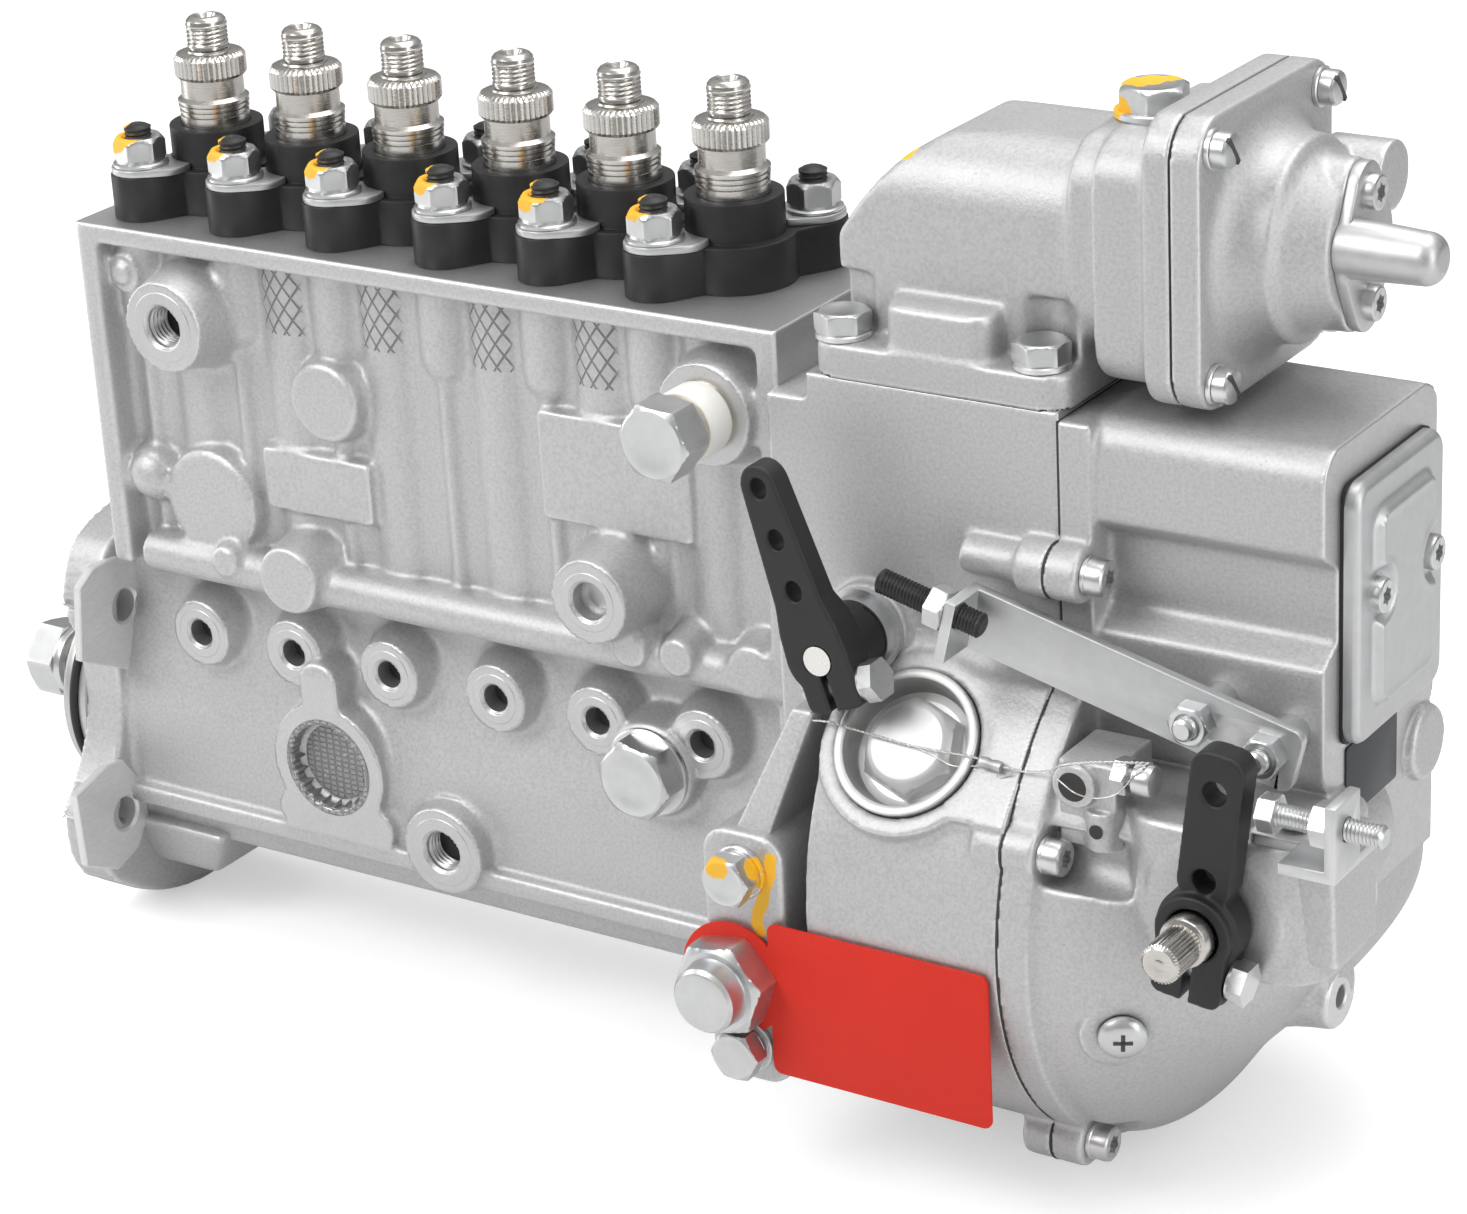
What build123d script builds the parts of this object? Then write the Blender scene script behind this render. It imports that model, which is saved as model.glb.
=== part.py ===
from build123d import *
from math import cos, radians, sin
import os

os.makedirs("parts", exist_ok=True)

# In-line six-element diesel injection pump with a mechanical governor.
# Origin: centre of the drive flange's mounting face, on the camshaft axis.
# +X runs along the camshaft towards the governor, -Y is the lever side, +Z is up.

# ---------------------------------------------------------------- driving sizes
# element bank
element_count = 6
element_pitch = 35.0
middle_gap = 3.0
first_element_x = 47.5
stud_dx = 12.3
stud_dy = 20.1

# pump housing casting
deck_z = 161.0
deck_half_y = 35.0
deck_edge = 6.0
wall_half_y = 25.0
body_start_x = 20.0
body_end_x = 259.0
post_width = 7.0
waist_z = 56.0
column_r = 8.5
column_y = 21.5
column_bottom_z = 130.0
rib_r = 2.6
bulge_r = 13.0
bulge_proud = 3.0
crank_top_half_y = 20.0
crank_half_y = 30.0
crank_low_z = -20.0
crank_floor_z = -36.0
crank_floor_half_y = 25.0
rail_height = 6.0
rail_proud = 4.0
pipe_r = 6.3
pipe_y = 29.5
pipe_z = 60.0
port_z = 35.8
port_face_y = 31.0
port_boss_r = 10.0
port_flare = 0.3
boss_flare = 0.2
port_bore_r = 4.3
port_depth = 9.0

# bosses and pads on the lever-side wall: x, z, face y, radius
inlet_x = 57.0
inlet_z = 136.5
inlet_face_y = 43.0
inlet_boss_r = 13.3
inlet_bore_r = 6.25
inlet_depth = 16.0
outlet_x = 237.3
outlet_z = 136.0
outlet_face_y = 38.0
outlet_boss_r = 14.3
upper_disc = (104.3, 117.4, 33.0, 11.5)
lower_disc = (57.5, 79.0, 32.0, 16.0)
gallery_discs = [(90.6, 63.4, 40.0, 10.0), (65.0, 64.0, 37.5, 4.5), (208.0, 63.6, 38.0, 5.4),
                 (223.4, 64.0, 38.0, 5.4), (246.0, 63.0, 35.8, 7.5)]
corner_balls = [(33.0, 146.0, 7.0), (34.5, 84.0, 9.0)]
stop_bore_x = 200.2
stop_bore_z = 78.5
stop_bore_face_y = 44.0
stop_bore_boss_r = 12.0
stop_bore_r = 5.7
stop_bore_depth = 6.0
pad_proud = 4.5
pad_1 = (77.0, 80.7, 116.0, 99.5)
pad_2 = (176.0, 94.0, 226.0, 125.5)
feed_pad_y = 34.5
feed_x = 94.6
feed_z = 3.1
feed_recess_r = 13.5
feed_recess_depth = 5.0
feed_disc_r = 20.0
feed_lobe_r = 7.0
feed_neck_r = 6.8
drain_x = 136.4
drain_z = -14.0
drain_face_y = 37.0
drain_boss_r = 13.3
drain_bore_r = 6.25
drain_depth = 10.0
side_plug_x = 209.0
side_plug_z = 25.5
side_plug_face_y = 33.0
side_plug_boss_r = 13.6
side_plug_af = 21.0

# drive flange
flange_t = 14.0
flange_pcd = 93.0
flange_turn = -8.9
flange_hole_r = 5.3
flange_rim_r = 65.0
scallop_r = 52.0
scallop_depth_r = 33.5

# camshaft and its bearings
running = 0.05
tunnel_r = 27.0
journal_r = 12.5
core_r = 11.0
bearing_w = 14.0
cam_base_r = 14.0
cam_nose_r = 7.0
cam_max_r = 24.0
cam_w = 13.0
cam_gap = 0.25
cover_recess_r = 31.0
cover_recess_depth = 12.0
pilot_r = 34.0
pilot_proud = 9.0
o_ring_r = 1.4
taper_len = 20.0
taper_small_r = 8.5
nose_thread_r = 7.0
nose_nut_af = 22.0
nose_nut_h = 11.0
nose_washer_r = 11.5
nose_washer_t = 3.0

# tappets, plungers, rack
tappet_r = 15.0
roller_r = 8.0
roller_w = 12.0
tappet_top_z = 52.0
tappet_foot_z = 30.0
plunger_r = 6.0
plunger_top_z = 150.0
barrel_r = 12.0
barrel_bottom_z = 97.3
sleeve_r = 10.0
sleeve_bottom_z = 78.0
sleeve_gap = 0.3
arm_reach = 18.0
arm_t = 2.6
arm_w = 5.0
finger_r = 2.0
finger_play = 0.6
rack_h = 8.0
rack_t = 6.0
rack_travel = 9.0
rack_top_z = 90.0

# delivery valve holders and their flanged sleeves
sleeve_flange_r = 16.6
ear_r = 9.0
flange_h = 13.0
collar_r = 13.5
collar_top_z = 185.0
valve_top_z = 216.0
outlet_r = 6.0
outlet_len = 10.3
crown_r = 10.4
crown_len = 7.2
neck_r = 9.0
neck_len = 6.2
land_r = 10.3
valve_thread_r = 9.8
stud_r = 3.9
plate_t = 2.0
washer_r = 8.0
washer_t = 1.5
nut_af = 13.0
nut_h = 7.0
stud_proud = 3.5

# governor housing
gov_front_y = 40.0
gov_back_y = 36.0
gov_shoulder_z = 146.5
gov_top_z = 153.5
gov_seam_x = 344.0
bell_r = 77.5
bell_z = 19.0
gov_wall = 8.0
gov_cavity_r = 60.0
pad_start_x = 271.0
plug_x = 310.0
plug_z = 66.3
plug_boss_r = 25.0
plug_step = 1.4
plug_y = 61.0
plug_tilt = 43.0
plug_cup_r = 19.9
plug_cup_in_r = 16.9
plug_hex_af = 24.0
lug_face_y = 77.0
lug_x = 267.8
lug_z = 0.6
lug_bolt_pitch = 51.0
lug_washer_t = 3.6
lug_w = 25.0
lug_h = 73.0

# governor cover
rim_t = 9.0
rim_lug_r = 7.5
box_front_y = 38.0
box_back_y = 28.0
box_top_z = 152.5
box_end_x = 415.0
box_edge_r = 9.0
groove_low_z = 102.0
groove_high_z = 121.0
groove_depth = 8.0
shelf_z = 62.0
belly_r = 75.0
belly_end_x = 412.0
lever_boss_y = 66.0
lever_boss_r = 19.0

# control lever
control_x = 399.5
control_z = 40.5
control_tilt = 7.5
control_shaft_r = 7.0
control_end_y = 96.0
lever_t = 8.0
control_hole_1 = 38.0
control_hole_2 = 13.8
lever_hole_r = 3.2
control_arm_w = 14.5
control_hub_r = 11.2

# stop lever
stop_x = 288.5
stop_z = 87.5
stop_tilt = -18.9
stop_front_y = 68.0
stop_shaft_r = 4.0
stop_hub_r = 9.6
stop_arm_len = 47.0
stop_hole_pitch = 14.0
stop_tip_r = 6.2
stop_hub_back_y = 50.0

# stop bracket, idle bracket and their screws
bracket_y = 52.0
bracket_t = 3.0
bracket_tilt = 14.0
bracket_len = 95.0
bracket_w = 17.0
bracket_mid_x = 368.6
bracket_mid_z = 89.3
bracket_ear = 12.0
set_screw_r = 3.4
set_screw_len = 31.0
angle_t = 3.0
angle_ear_x = 434.0
stop_screw_y = 71.0
stop_screw_z = 74.0
stop_screw_r = 3.0

# boost compensator on the governor top
boost_base_t = 9.0
boost_base_x0 = 272.0
boost_base_x1 = 345.5
boost_base_y0 = 40.0
boost_base_y1 = 34.0
boost_body_half_y = 28.5
boost_axis_z = 193.0
boost_top_z = 215.0
boost_shoulder_z = 188.0
boost_block_r = 4.0
boost_block_len = 20.0
boost_neck_x = 345.0
boost_square = 74.0
boost_corner_r = 11.0
boost_screw_pitch = 59.0
boost_case_x = 366.0
boost_flange_t = 7.5
membrane_t = 0.8
membrane_inset = 1.2
cone_r = 32.0
cone_mid_r = 26.0
cone_end_r = 20.0
cone_len = 24.0
cap_flange_t = 3.0
cap_screw_pitch = 28.0
tube_r = 7.5
tube_len = 23.0
tube_y = 8.0

boost_body_x0 = 275.0
boost_section_r = 18.0
boost_plug_x = 354.8
boost_plug_z = 222.0
boost_plug_r = 10.5
boost_plug_af = 17.0
bump_x0 = 293.0
bump_x1 = 324.0
bump_h = 12.0
bump_y = 39.0
connector_y = 23.0
connector_z = 204.0
connector_r = 9.0
connector_x1 = 405.0

# governor housing extras
drum_x = 287.0
gov_fillet_r = 15.0
cavity_z = 9.0
rack_window_y0 = -24.0
rack_window_y1 = -8.0
rack_window_z0 = 80.0
rack_window_z1 = 98.0
boss_rib_x = 318.0
boss_rib_r = 5.0
block_low = 17.0
block_high = 22.0
block_depth = 30.0
rim_lugs = [(40.0, 113.0), (67.0, 47.0), (45.0, -46.0)]
gov_neck_cavity_r = 30.0
plug_cup_depth = 9.0
plug_cup_proud = 1.5
plug_floor_t = 3.0
stop_boss_y = 44.0
stop_boss_r = 12.0
stop_shaft_in_y = 34.0
base_bolt_inset = 6.5
base_bolt_depth = 12.0
control_shaft_in = 30.0
side_plug_depth = 11.0
weight_r0 = 20.0
weight_r1 = 48.0
weight_x0 = 297.0
weight_x1 = 325.0
hub_r = 20.0

# governor cover extras
end_window_w = 22.0
end_window_h = 54.0
end_window_depth = 30.0
m5_shank_r = 2.4
m5_shank_len = 8.0
end_cover_y = -3.5
end_cover_z = 107.5
end_cover_w = 51.0
end_cover_h = 69.0
end_cover_t = 4.0
end_cover_rise = 1.2
gasket_t = 1.0
plate_label_w = 30.0
plate_label_h = 20.0
plate_label_y = -10.5
plate_label_z = 61.5
boss_block_x0 = 372.0
boss_block_x1 = 426.0
boss_block_z0 = 24.0
boss_block_r = 12.0
boss_block_y = 26.0
end_bosses = [(-15.0, 23.0, 416.0, 8.5), (-20.0, -1.0, 412.0, 9.0)]
end_boss_hole_r = 3.6
rim_pocket = 24.0
rear_ear = (20.0, 55.0, 418.0, 10.0)
dome_plug_r = 7.5
dome_plug_h = 3.5
dome_plug_slot = 1.6
dome_plug_shank = 9.0
dome_plug_at = (375.3, -69.7, 2.8)

# fasteners
m8_af = 13.0
m8_head_h = 5.5
m8_washer_r = 7.5
m8_washer_t = 1.6
m8_shank_r = 3.9
m8_shank_len = 14.0
m6_head_r = 5.2
m6_head_h = 6.0
m6_shank_r = 2.9
m6_shank_len = 10.0
m5_head_r = 4.6
m5_head_h = 3.0
m6_af = 10.0
end_screw_pitch = 31.0
control_tip_r = 48.6
clamp_len = 18.5
clamp_w = 20.0
clamp_step = 3.0
clamp_slot = 2.0
clamp_bolt = 11.0
clamp_bolt_r = 2.9
m6_clamp_head_h = 4.0
m6_nut_h = 5.0
stop_arm_t = 9.5
stop_hole_r = 2.8
stop_clamp_len = 14.0
stop_clamp_w = 17.0
stop_clamp_left = 7.5
stop_clamp_drop = 8.6
bracket_stud_insets = (28.0, 8.0)
pillar_r = 5.0
set_screw_up = 4.0
set_screw_out = 11.0
set_screw_back = 21.0
angle_strip_w = 15.0
angle_screw_x = 417.0
angle_screw_y = 57.0
stop_screw_head = 19.4
stop_screw_tail = 13.0
boost_plug_y = 7.0
vent_af = 22.0
vent_head_h = 13.0
vent_washer_t = 1.0
spacer_r = 10.0
spacer_len = 10.0
side_plug_head_h = 8.0
big_plug_x = 264.8
big_plug_z = -3.6
big_plug_af = 24.0
big_plug_head_h = 9.0
big_plug_end_r = 9.0
big_plug_end_len = 7.0
big_plug_shank_r = 8.0
tag_t = 1.0
tag_ring_r = 16.0
tag_x0 = 276.0
tag_x1 = 342.0
tag_z0 = -29.0
tag_z1 = 15.0

element_x = [first_element_x + element_pitch * i + (middle_gap if i >= element_count / 2 else 0.0)
             for i in range(element_count)]
firing_angles = [0, 240, 120, 300, 60, 180]
body_len = body_end_x - body_start_x
sleeve_top_z = deck_z + flange_h
plate_top_z = sleeve_top_z + plate_t
nut_base_z = plate_top_z + washer_t
nut_top_z = nut_base_z + nut_h
rack_bottom_z = rack_top_z - rack_h
arm_bottom_z = rack_top_z + 0.6
sleeve_stop_z = barrel_bottom_z - sleeve_gap
rack_mid_y = -arm_reach
rack_front_y = rack_mid_y - rack_t / 2 - 1.0


def front(y):
    """Plane at -y facing the lever side, local x and y along +X and +Z."""
    return Plane(origin=(0, -y, 0), x_dir=(1, 0, 0), z_dir=(0, -1, 0))


def end(x):
    """Plane at x facing the governor end, local x and y along +Y and +Z."""
    return Plane(origin=(x, 0, 0), x_dir=(0, 1, 0), z_dir=(1, 0, 0))


stud_points = [(x + s * stud_dx, s * stud_dy) for x in element_x for s in (-1, 1)]

# ---------------------------------------------------------------- pump housing
with BuildPart() as pump_housing:
    # element block with its machined deck
    with BuildSketch(end(body_start_x)):
        with Locations((0, (waist_z + deck_z) / 2)):
            Rectangle(2 * wall_half_y, deck_z - waist_z)
    extrude(amount=body_len)
    with BuildSketch(Plane.XY.offset(deck_z - deck_edge)):
        with Locations(((body_start_x + body_end_x) / 2, 0)):
            Rectangle(body_len, 2 * deck_half_y)
    extrude(amount=deck_edge)
    # end posts that frame the recessed wall
    for post_x in (body_start_x, body_end_x - post_width):
        with BuildSketch(end(post_x)):
            with Locations((0, (waist_z + deck_z - 1) / 2)):
                Rectangle(2 * deck_half_y, deck_z - 1 - waist_z)
        extrude(amount=post_width)
    # crankcase below the waist
    with BuildSketch(end(flange_t - 2)):
        with BuildLine():
            Polyline((-crank_top_half_y, waist_z + 4), (-crank_top_half_y, port_z + 9),
                     (-crank_half_y, port_z - 28), (-crank_half_y, crank_low_z),
                     (-crank_floor_half_y, crank_floor_z), (crank_floor_half_y, crank_floor_z),
                     (crank_half_y, crank_low_z), (crank_half_y, port_z - 28),
                     (crank_top_half_y, port_z + 9), (crank_top_half_y, waist_z + 4), close=True)
        make_face()
    extrude(amount=body_end_x - flange_t + 2)
    # end bulkhead that carries the governor
    with BuildSketch(end(body_end_x - post_width)):
        with Locations((0, (waist_z + crank_low_z) / 2)):
            Rectangle(2 * (deck_half_y - 2), waist_z - crank_low_z + 6)
    extrude(amount=post_width)
    # bottom rails
    for side in (-1, 1):
        with BuildSketch(end(flange_t)):
            with Locations((side * (crank_half_y + rail_proud / 2 - 1), crank_low_z - rail_height / 2 + 1)):
                Rectangle(rail_proud + 2, rail_height)
        extrude(amount=body_end_x - flange_t)
    # stud columns, ribs and bulges on both walls
    for side in (-1, 1):
        for x in element_x:
            with BuildSketch(Plane.XY.offset(column_bottom_z + column_r * 0.5)):
                with Locations((x + side * stud_dx, side * column_y)):
                    Circle(column_r)
            extrude(amount=deck_z - deck_edge - column_bottom_z - column_r * 0.5)
            with Locations((x + side * stud_dx, side * column_y, column_bottom_z + column_r * 0.5)):
                Sphere(column_r)
            with BuildSketch(Plane.XY.offset(waist_z)):
                with Locations((x + side * stud_dx, side * wall_half_y)):
                    Circle(rib_r)
            extrude(amount=column_bottom_z - waist_z)
            with BuildSketch(Plane.XY.offset(waist_z)):
                with Locations((x + side * stud_dx + side * -element_pitch / 2,
                                side * (wall_half_y + bulge_proud - bulge_r))):
                    Circle(bulge_r)
            extrude(amount=deck_z - deck_edge - waist_z)
    # half-round gallery along the waist
    with BuildSketch(end(body_start_x + 12)):
        with Locations((-pipe_y, pipe_z)):
            Circle(pipe_r)
    extrude(amount=body_end_x - body_start_x - 12)
    # round bosses and discs
    for x, z, y, r in [upper_disc, lower_disc, *gallery_discs,
                       (inlet_x, inlet_z, inlet_face_y, inlet_boss_r),
                       (outlet_x, outlet_z, outlet_face_y, outlet_boss_r),
                       (stop_bore_x, stop_bore_z, stop_bore_face_y, stop_bore_boss_r),
                       (drain_x, drain_z, drain_face_y, drain_boss_r),
                       (side_plug_x, side_plug_z, side_plug_face_y, side_plug_boss_r)]:
        boss_depth = y - crank_top_half_y + 1
        with Locations((x, boss_depth / 2 - y, z)):
            Cone(r + boss_flare * boss_depth, r, boss_depth, rotation=(90, 0, 0))
    for x, z, r in corner_balls:
        with Locations((x, -wall_half_y - 1, z)):
            Sphere(r)
    # bare name pads
    with BuildSketch(front(wall_half_y + pad_proud)):
        for x0, z0, x1, z1 in (pad_1, pad_2):
            with Locations(((x0 + x1) / 2, (z0 + z1) / 2)):
                RectangleRounded(x1 - x0, z1 - z0, 1.5)
    extrude(amount=-pad_proud - 1)
    # feed pump pad: a flat face with a long neck and a round recess
    with BuildSketch(front(feed_pad_y)):
        with Locations((feed_x, feed_z)):
            Circle(feed_disc_r)
        with Locations((feed_x, (crank_low_z + feed_z) / 2)):
            Rectangle(2 * (feed_disc_r - feed_lobe_r), feed_z - crank_low_z)
        with Locations((feed_x - feed_disc_r + feed_lobe_r, crank_low_z + feed_lobe_r),
                       (feed_x + feed_disc_r - feed_lobe_r + 2, crank_low_z + feed_lobe_r - 1)):
            Circle(feed_lobe_r)
        with Locations((feed_x - 1, feed_z + feed_disc_r)):
            RectangleRounded(2 * feed_neck_r, 26.0, feed_neck_r - 0.2)
    extrude(amount=-(feed_pad_y - crank_top_half_y - 1))
    # drive flange with four ears
    with BuildSketch(end(0)):
        Circle(flange_rim_r)
        with PolarLocations(scallop_depth_r + scallop_r, 2, start_angle=flange_turn):
            Circle(scallop_r, mode=Mode.SUBTRACT)
    extrude(amount=flange_t)
    # tappet port bosses
    port_boss_depth = port_face_y - tappet_r - 1
    with Locations(*[(x, port_boss_depth / 2 - port_face_y, port_z) for x in element_x]):
        Cone(port_boss_r + port_flare * port_boss_depth, port_boss_r, port_boss_depth, rotation=(90, 0, 0))
    # camshaft tunnel and the recess of the drive-end cover
    with BuildSketch(end(0)):
        Circle(tunnel_r)
    extrude(amount=body_end_x, mode=Mode.SUBTRACT)
    with BuildSketch(end(0)):
        Circle(cover_recess_r)
    extrude(amount=cover_recess_depth, mode=Mode.SUBTRACT)
    with BuildSketch(end(0)):
        with PolarLocations(flange_pcd / 2, 4, start_angle=45 + flange_turn):
            Circle(flange_hole_r)
    extrude(amount=flange_t, mode=Mode.SUBTRACT)
    # tappet and barrel bores
    with BuildSketch(Plane.XY.offset(tunnel_r - 8)):
        with Locations(*[(x, 0) for x in element_x]):
            Circle(tappet_r)
    extrude(amount=barrel_bottom_z - tunnel_r + 8, mode=Mode.SUBTRACT)
    with BuildSketch(Plane.XY.offset(barrel_bottom_z)):
        with Locations(*[(x, 0) for x in element_x]):
            Circle(barrel_r)
    extrude(amount=deck_z - barrel_bottom_z, mode=Mode.SUBTRACT)
    # stud holes
    with BuildSketch(Plane.XY.offset(deck_z)):
        with Locations(*stud_points):
            Circle(stud_r)
    extrude(amount=-deck_z + column_bottom_z, mode=Mode.SUBTRACT)
    # rack channel
    with BuildSketch(end(body_start_x + 4)):
        with Locations(((rack_front_y - running + 0) / 2, (rack_bottom_z - running + barrel_bottom_z) / 2)):
            Rectangle(-rack_front_y + running, barrel_bottom_z - rack_bottom_z + running)
    extrude(amount=body_end_x - body_start_x - 4, mode=Mode.SUBTRACT)
    # tappet ports
    with BuildSketch(front(port_face_y)):
        with Locations(*[(x, port_z) for x in element_x]):
            Circle(port_bore_r)
    extrude(amount=-port_depth, mode=Mode.SUBTRACT)
    # threaded and counterbored side holes
    for x, z, y, r, depth in [(inlet_x, inlet_z, inlet_face_y, inlet_bore_r, inlet_depth),
                              (outlet_x, outlet_z, outlet_face_y, inlet_bore_r, inlet_depth),
                              (stop_bore_x, stop_bore_z, stop_bore_face_y, stop_bore_r, stop_bore_depth),
                              (feed_x, feed_z, feed_pad_y, feed_recess_r, feed_recess_depth),
                              (drain_x, drain_z, drain_face_y, drain_bore_r, drain_depth),
                              (side_plug_x, side_plug_z, side_plug_face_y, inlet_bore_r, side_plug_depth)]:
        with BuildSketch(front(y)):
            with Locations((x, z)):
                Circle(r)
        extrude(amount=-depth, mode=Mode.SUBTRACT)
pump_housing.part.label = "pump_housing"
export_step(pump_housing.part, "parts/pump_housing.step")

# ---------------------------------------------------------------- drive end
with BuildPart() as drive_end_cover:
    with BuildSketch(end(-pilot_proud)):
        Circle(pilot_r)
    extrude(amount=pilot_proud)
    with BuildSketch(end(0)):
        Circle(cover_recess_r - running)
    extrude(amount=cover_recess_depth)
    with BuildSketch(end(-pilot_proud)):
        Circle(journal_r + running)
    extrude(amount=pilot_proud + cover_recess_depth, mode=Mode.SUBTRACT)
    with BuildSketch(end(-pilot_proud)):
        Circle(pilot_r - 6)
        Circle(journal_r + 4, mode=Mode.SUBTRACT)
    extrude(amount=2.0, mode=Mode.SUBTRACT)
    with BuildSketch(Plane.XZ):
        with Locations((-pilot_proud / 2, pilot_r)):
            Circle(o_ring_r + 0.1)
    revolve(axis=Axis.X, mode=Mode.SUBTRACT)
drive_end_cover.part.label = "drive_end_cover"
export_step(drive_end_cover.part, "parts/drive_end_cover.step")

with BuildPart() as pilot_o_ring:
    with BuildSketch(Plane.XZ):
        with Locations((-pilot_proud / 2, pilot_r)):
            Circle(o_ring_r)
    revolve(axis=Axis.X)
pilot_o_ring.part.label = "pilot_o_ring"
export_step(pilot_o_ring.part, "parts/pilot_o_ring.step")

taper_start_x = -pilot_proud - 2.0
taper_end_x = taper_start_x - taper_len
thread_end_x = taper_end_x - nose_washer_t - nose_nut_h - 3.0
cam_end_x = body_end_x + 14.0
bearing_x = (cover_recess_depth + 1.0, body_end_x - bearing_w - 1.0)

with BuildPart() as camshaft:
    with BuildSketch(Plane.XZ):
        with BuildLine():
            Polyline((thread_end_x, 0), (thread_end_x, nose_thread_r), (taper_end_x, nose_thread_r),
                     (taper_end_x, taper_small_r), (taper_start_x, journal_r), (bearing_x[0] + bearing_w, journal_r),
                     (bearing_x[0] + bearing_w, core_r), (bearing_x[1], core_r), (bearing_x[1], journal_r),
                     (cam_end_x, journal_r), (cam_end_x, 0), close=True)
        make_face()
    revolve(axis=Axis.X)
    for x, angle in zip(element_x, firing_angles):
        with BuildSketch(end(x - cam_w / 2)) as lobe:
            with Locations((0, 0)):
                Circle(cam_base_r)
            with PolarLocations(cam_max_r - cam_nose_r, 1, start_angle=90 + angle):
                Circle(cam_nose_r)
            make_hull()
        extrude(amount=cam_w)
camshaft.part.label = "camshaft"
export_step(camshaft.part, "parts/camshaft.step")

with BuildPart() as camshaft_bearings:
    for x in bearing_x:
        with BuildSketch(end(x)):
            Circle(tunnel_r - running)
            Circle(journal_r + running, mode=Mode.SUBTRACT)
        extrude(amount=bearing_w)
camshaft_bearings.part.label = "camshaft_bearings"
export_step(camshaft_bearings.part, "parts/camshaft_bearings.step")

with BuildPart() as nose_washer:
    with BuildSketch(end(taper_end_x - nose_washer_t)):
        Circle(nose_washer_r)
        Circle(nose_thread_r + running, mode=Mode.SUBTRACT)
    extrude(amount=nose_washer_t)
nose_washer.part.label = "nose_washer"
export_step(nose_washer.part, "parts/nose_washer.step")

with BuildPart() as nose_nut:
    with BuildSketch(end(taper_end_x - nose_washer_t - nose_nut_h)):
        RegularPolygon(nose_nut_af / 2, 6, major_radius=False, rotation=30)
        Circle(nose_thread_r + running, mode=Mode.SUBTRACT)
    extrude(amount=nose_nut_h)
nose_nut.part.label = "nose_nut"
export_step(nose_nut.part, "parts/nose_nut.step")

# ---------------------------------------------------------------- pumping elements
with BuildPart() as roller_tappets:
    for x in element_x:
        with BuildSketch(Plane.XY.offset(tappet_foot_z)):
            with Locations((x, 0)):
                Circle(tappet_r - running)
                Rectangle(roller_w + 1, 2 * tappet_r, mode=Mode.SUBTRACT)
        extrude(amount=roller_r + cam_max_r - tappet_foot_z + roller_r + 1)
        with BuildSketch(Plane.XY.offset(cam_max_r + 2 * roller_r + 1)):
            with Locations((x, 0)):
                Circle(tappet_r - running)
        extrude(amount=tappet_top_z - cam_max_r - 2 * roller_r - 1)
        with BuildSketch(end(x - roller_w / 2)):
            with Locations((0, cam_max_r + cam_gap + roller_r)):
                Circle(roller_r)
        extrude(amount=roller_w)
        with BuildSketch(end(x - roller_w / 2 - 2)):
            with Locations((0, cam_max_r + cam_gap + roller_r)):
                Circle(3.0)
        extrude(amount=roller_w + 4)
roller_tappets.part.label = "roller_tappets"
export_step(roller_tappets.part, "parts/roller_tappets.step")

with BuildPart() as plungers:
    with BuildSketch(Plane.XY.offset(tappet_top_z)):
        with Locations(*[(x, 0) for x in element_x]):
            Circle(plunger_r + 2)
    extrude(amount=3.0)
    with BuildSketch(Plane.XY.offset(tappet_top_z)):
        with Locations(*[(x, 0) for x in element_x]):
            Circle(plunger_r)
    extrude(amount=plunger_top_z - tappet_top_z)
plungers.part.label = "plungers"
export_step(plungers.part, "parts/plungers.step")

def sleeve_ears(x):
    """The straight-sided flange that joins both stud ears of one element."""
    with BuildSketch() as ears:
        with Locations((x - stud_dx, -stud_dy), (x + stud_dx, stud_dy)):
            Circle(ear_r)
        make_hull()
    return ears.sketch


with BuildPart() as flange_sleeves:
    for x in element_x:
        with BuildSketch(Plane.XY.offset(deck_z)):
            with Locations((x, 0)):
                Circle(sleeve_flange_r)
            add(sleeve_ears(x))
        extrude(amount=flange_h)
        with BuildSketch(Plane.XY.offset(sleeve_top_z)):
            with Locations((x, 0)):
                Circle(collar_r)
        extrude(amount=collar_top_z - sleeve_top_z)
        with BuildSketch(Plane.XY.offset(barrel_bottom_z)):
            with Locations((x, 0)):
                Circle(barrel_r - running)
        extrude(amount=deck_z - barrel_bottom_z)
    with BuildSketch(Plane.XY.offset(barrel_bottom_z)):
        with Locations(*[(x, 0) for x in element_x]):
            Circle(plunger_r + running)
    extrude(amount=deck_z - barrel_bottom_z, mode=Mode.SUBTRACT)
    with BuildSketch(Plane.XY.offset(deck_z)):
        with Locations(*[(x, 0) for x in element_x]):
            Circle(valve_thread_r + running)
        with Locations(*stud_points):
            Circle(stud_r + 0.4)
    extrude(amount=collar_top_z - deck_z, mode=Mode.SUBTRACT)
flange_sleeves.part.label = "flange_sleeves"
export_step(flange_sleeves.part, "parts/flange_sleeves.step")

crown_top_z = valve_top_z - outlet_len
crown_low_z = crown_top_z - crown_len
neck_low_z = crown_low_z - neck_len
with BuildPart() as valve_holders:
    for x in element_x:
        with BuildSketch(Plane.XZ):
            with BuildLine():
                Polyline((x + 1.6, deck_z + 0.5), (x + valve_thread_r, deck_z + 0.5), (x + valve_thread_r, collar_top_z),
                         (x + land_r, collar_top_z + 0.4), (x + land_r, neck_low_z - 1), (x + neck_r, neck_low_z),
                         (x + neck_r, crown_low_z), (x + crown_r, crown_low_z + 0.8), (x + crown_r, crown_top_z - 0.8),
                         (x + outlet_r + 0.8, crown_top_z), (x + outlet_r, crown_top_z + 1), (x + outlet_r, valve_top_z - 1),
                         (x + outlet_r - 1, valve_top_z), (x + 4, valve_top_z), (x + 1.6, valve_top_z - 4), close=True)
            make_face()
        revolve(axis=Axis((x, 0, 0), (0, 0, 1)))
valve_holders.part.label = "valve_holders"
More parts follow.
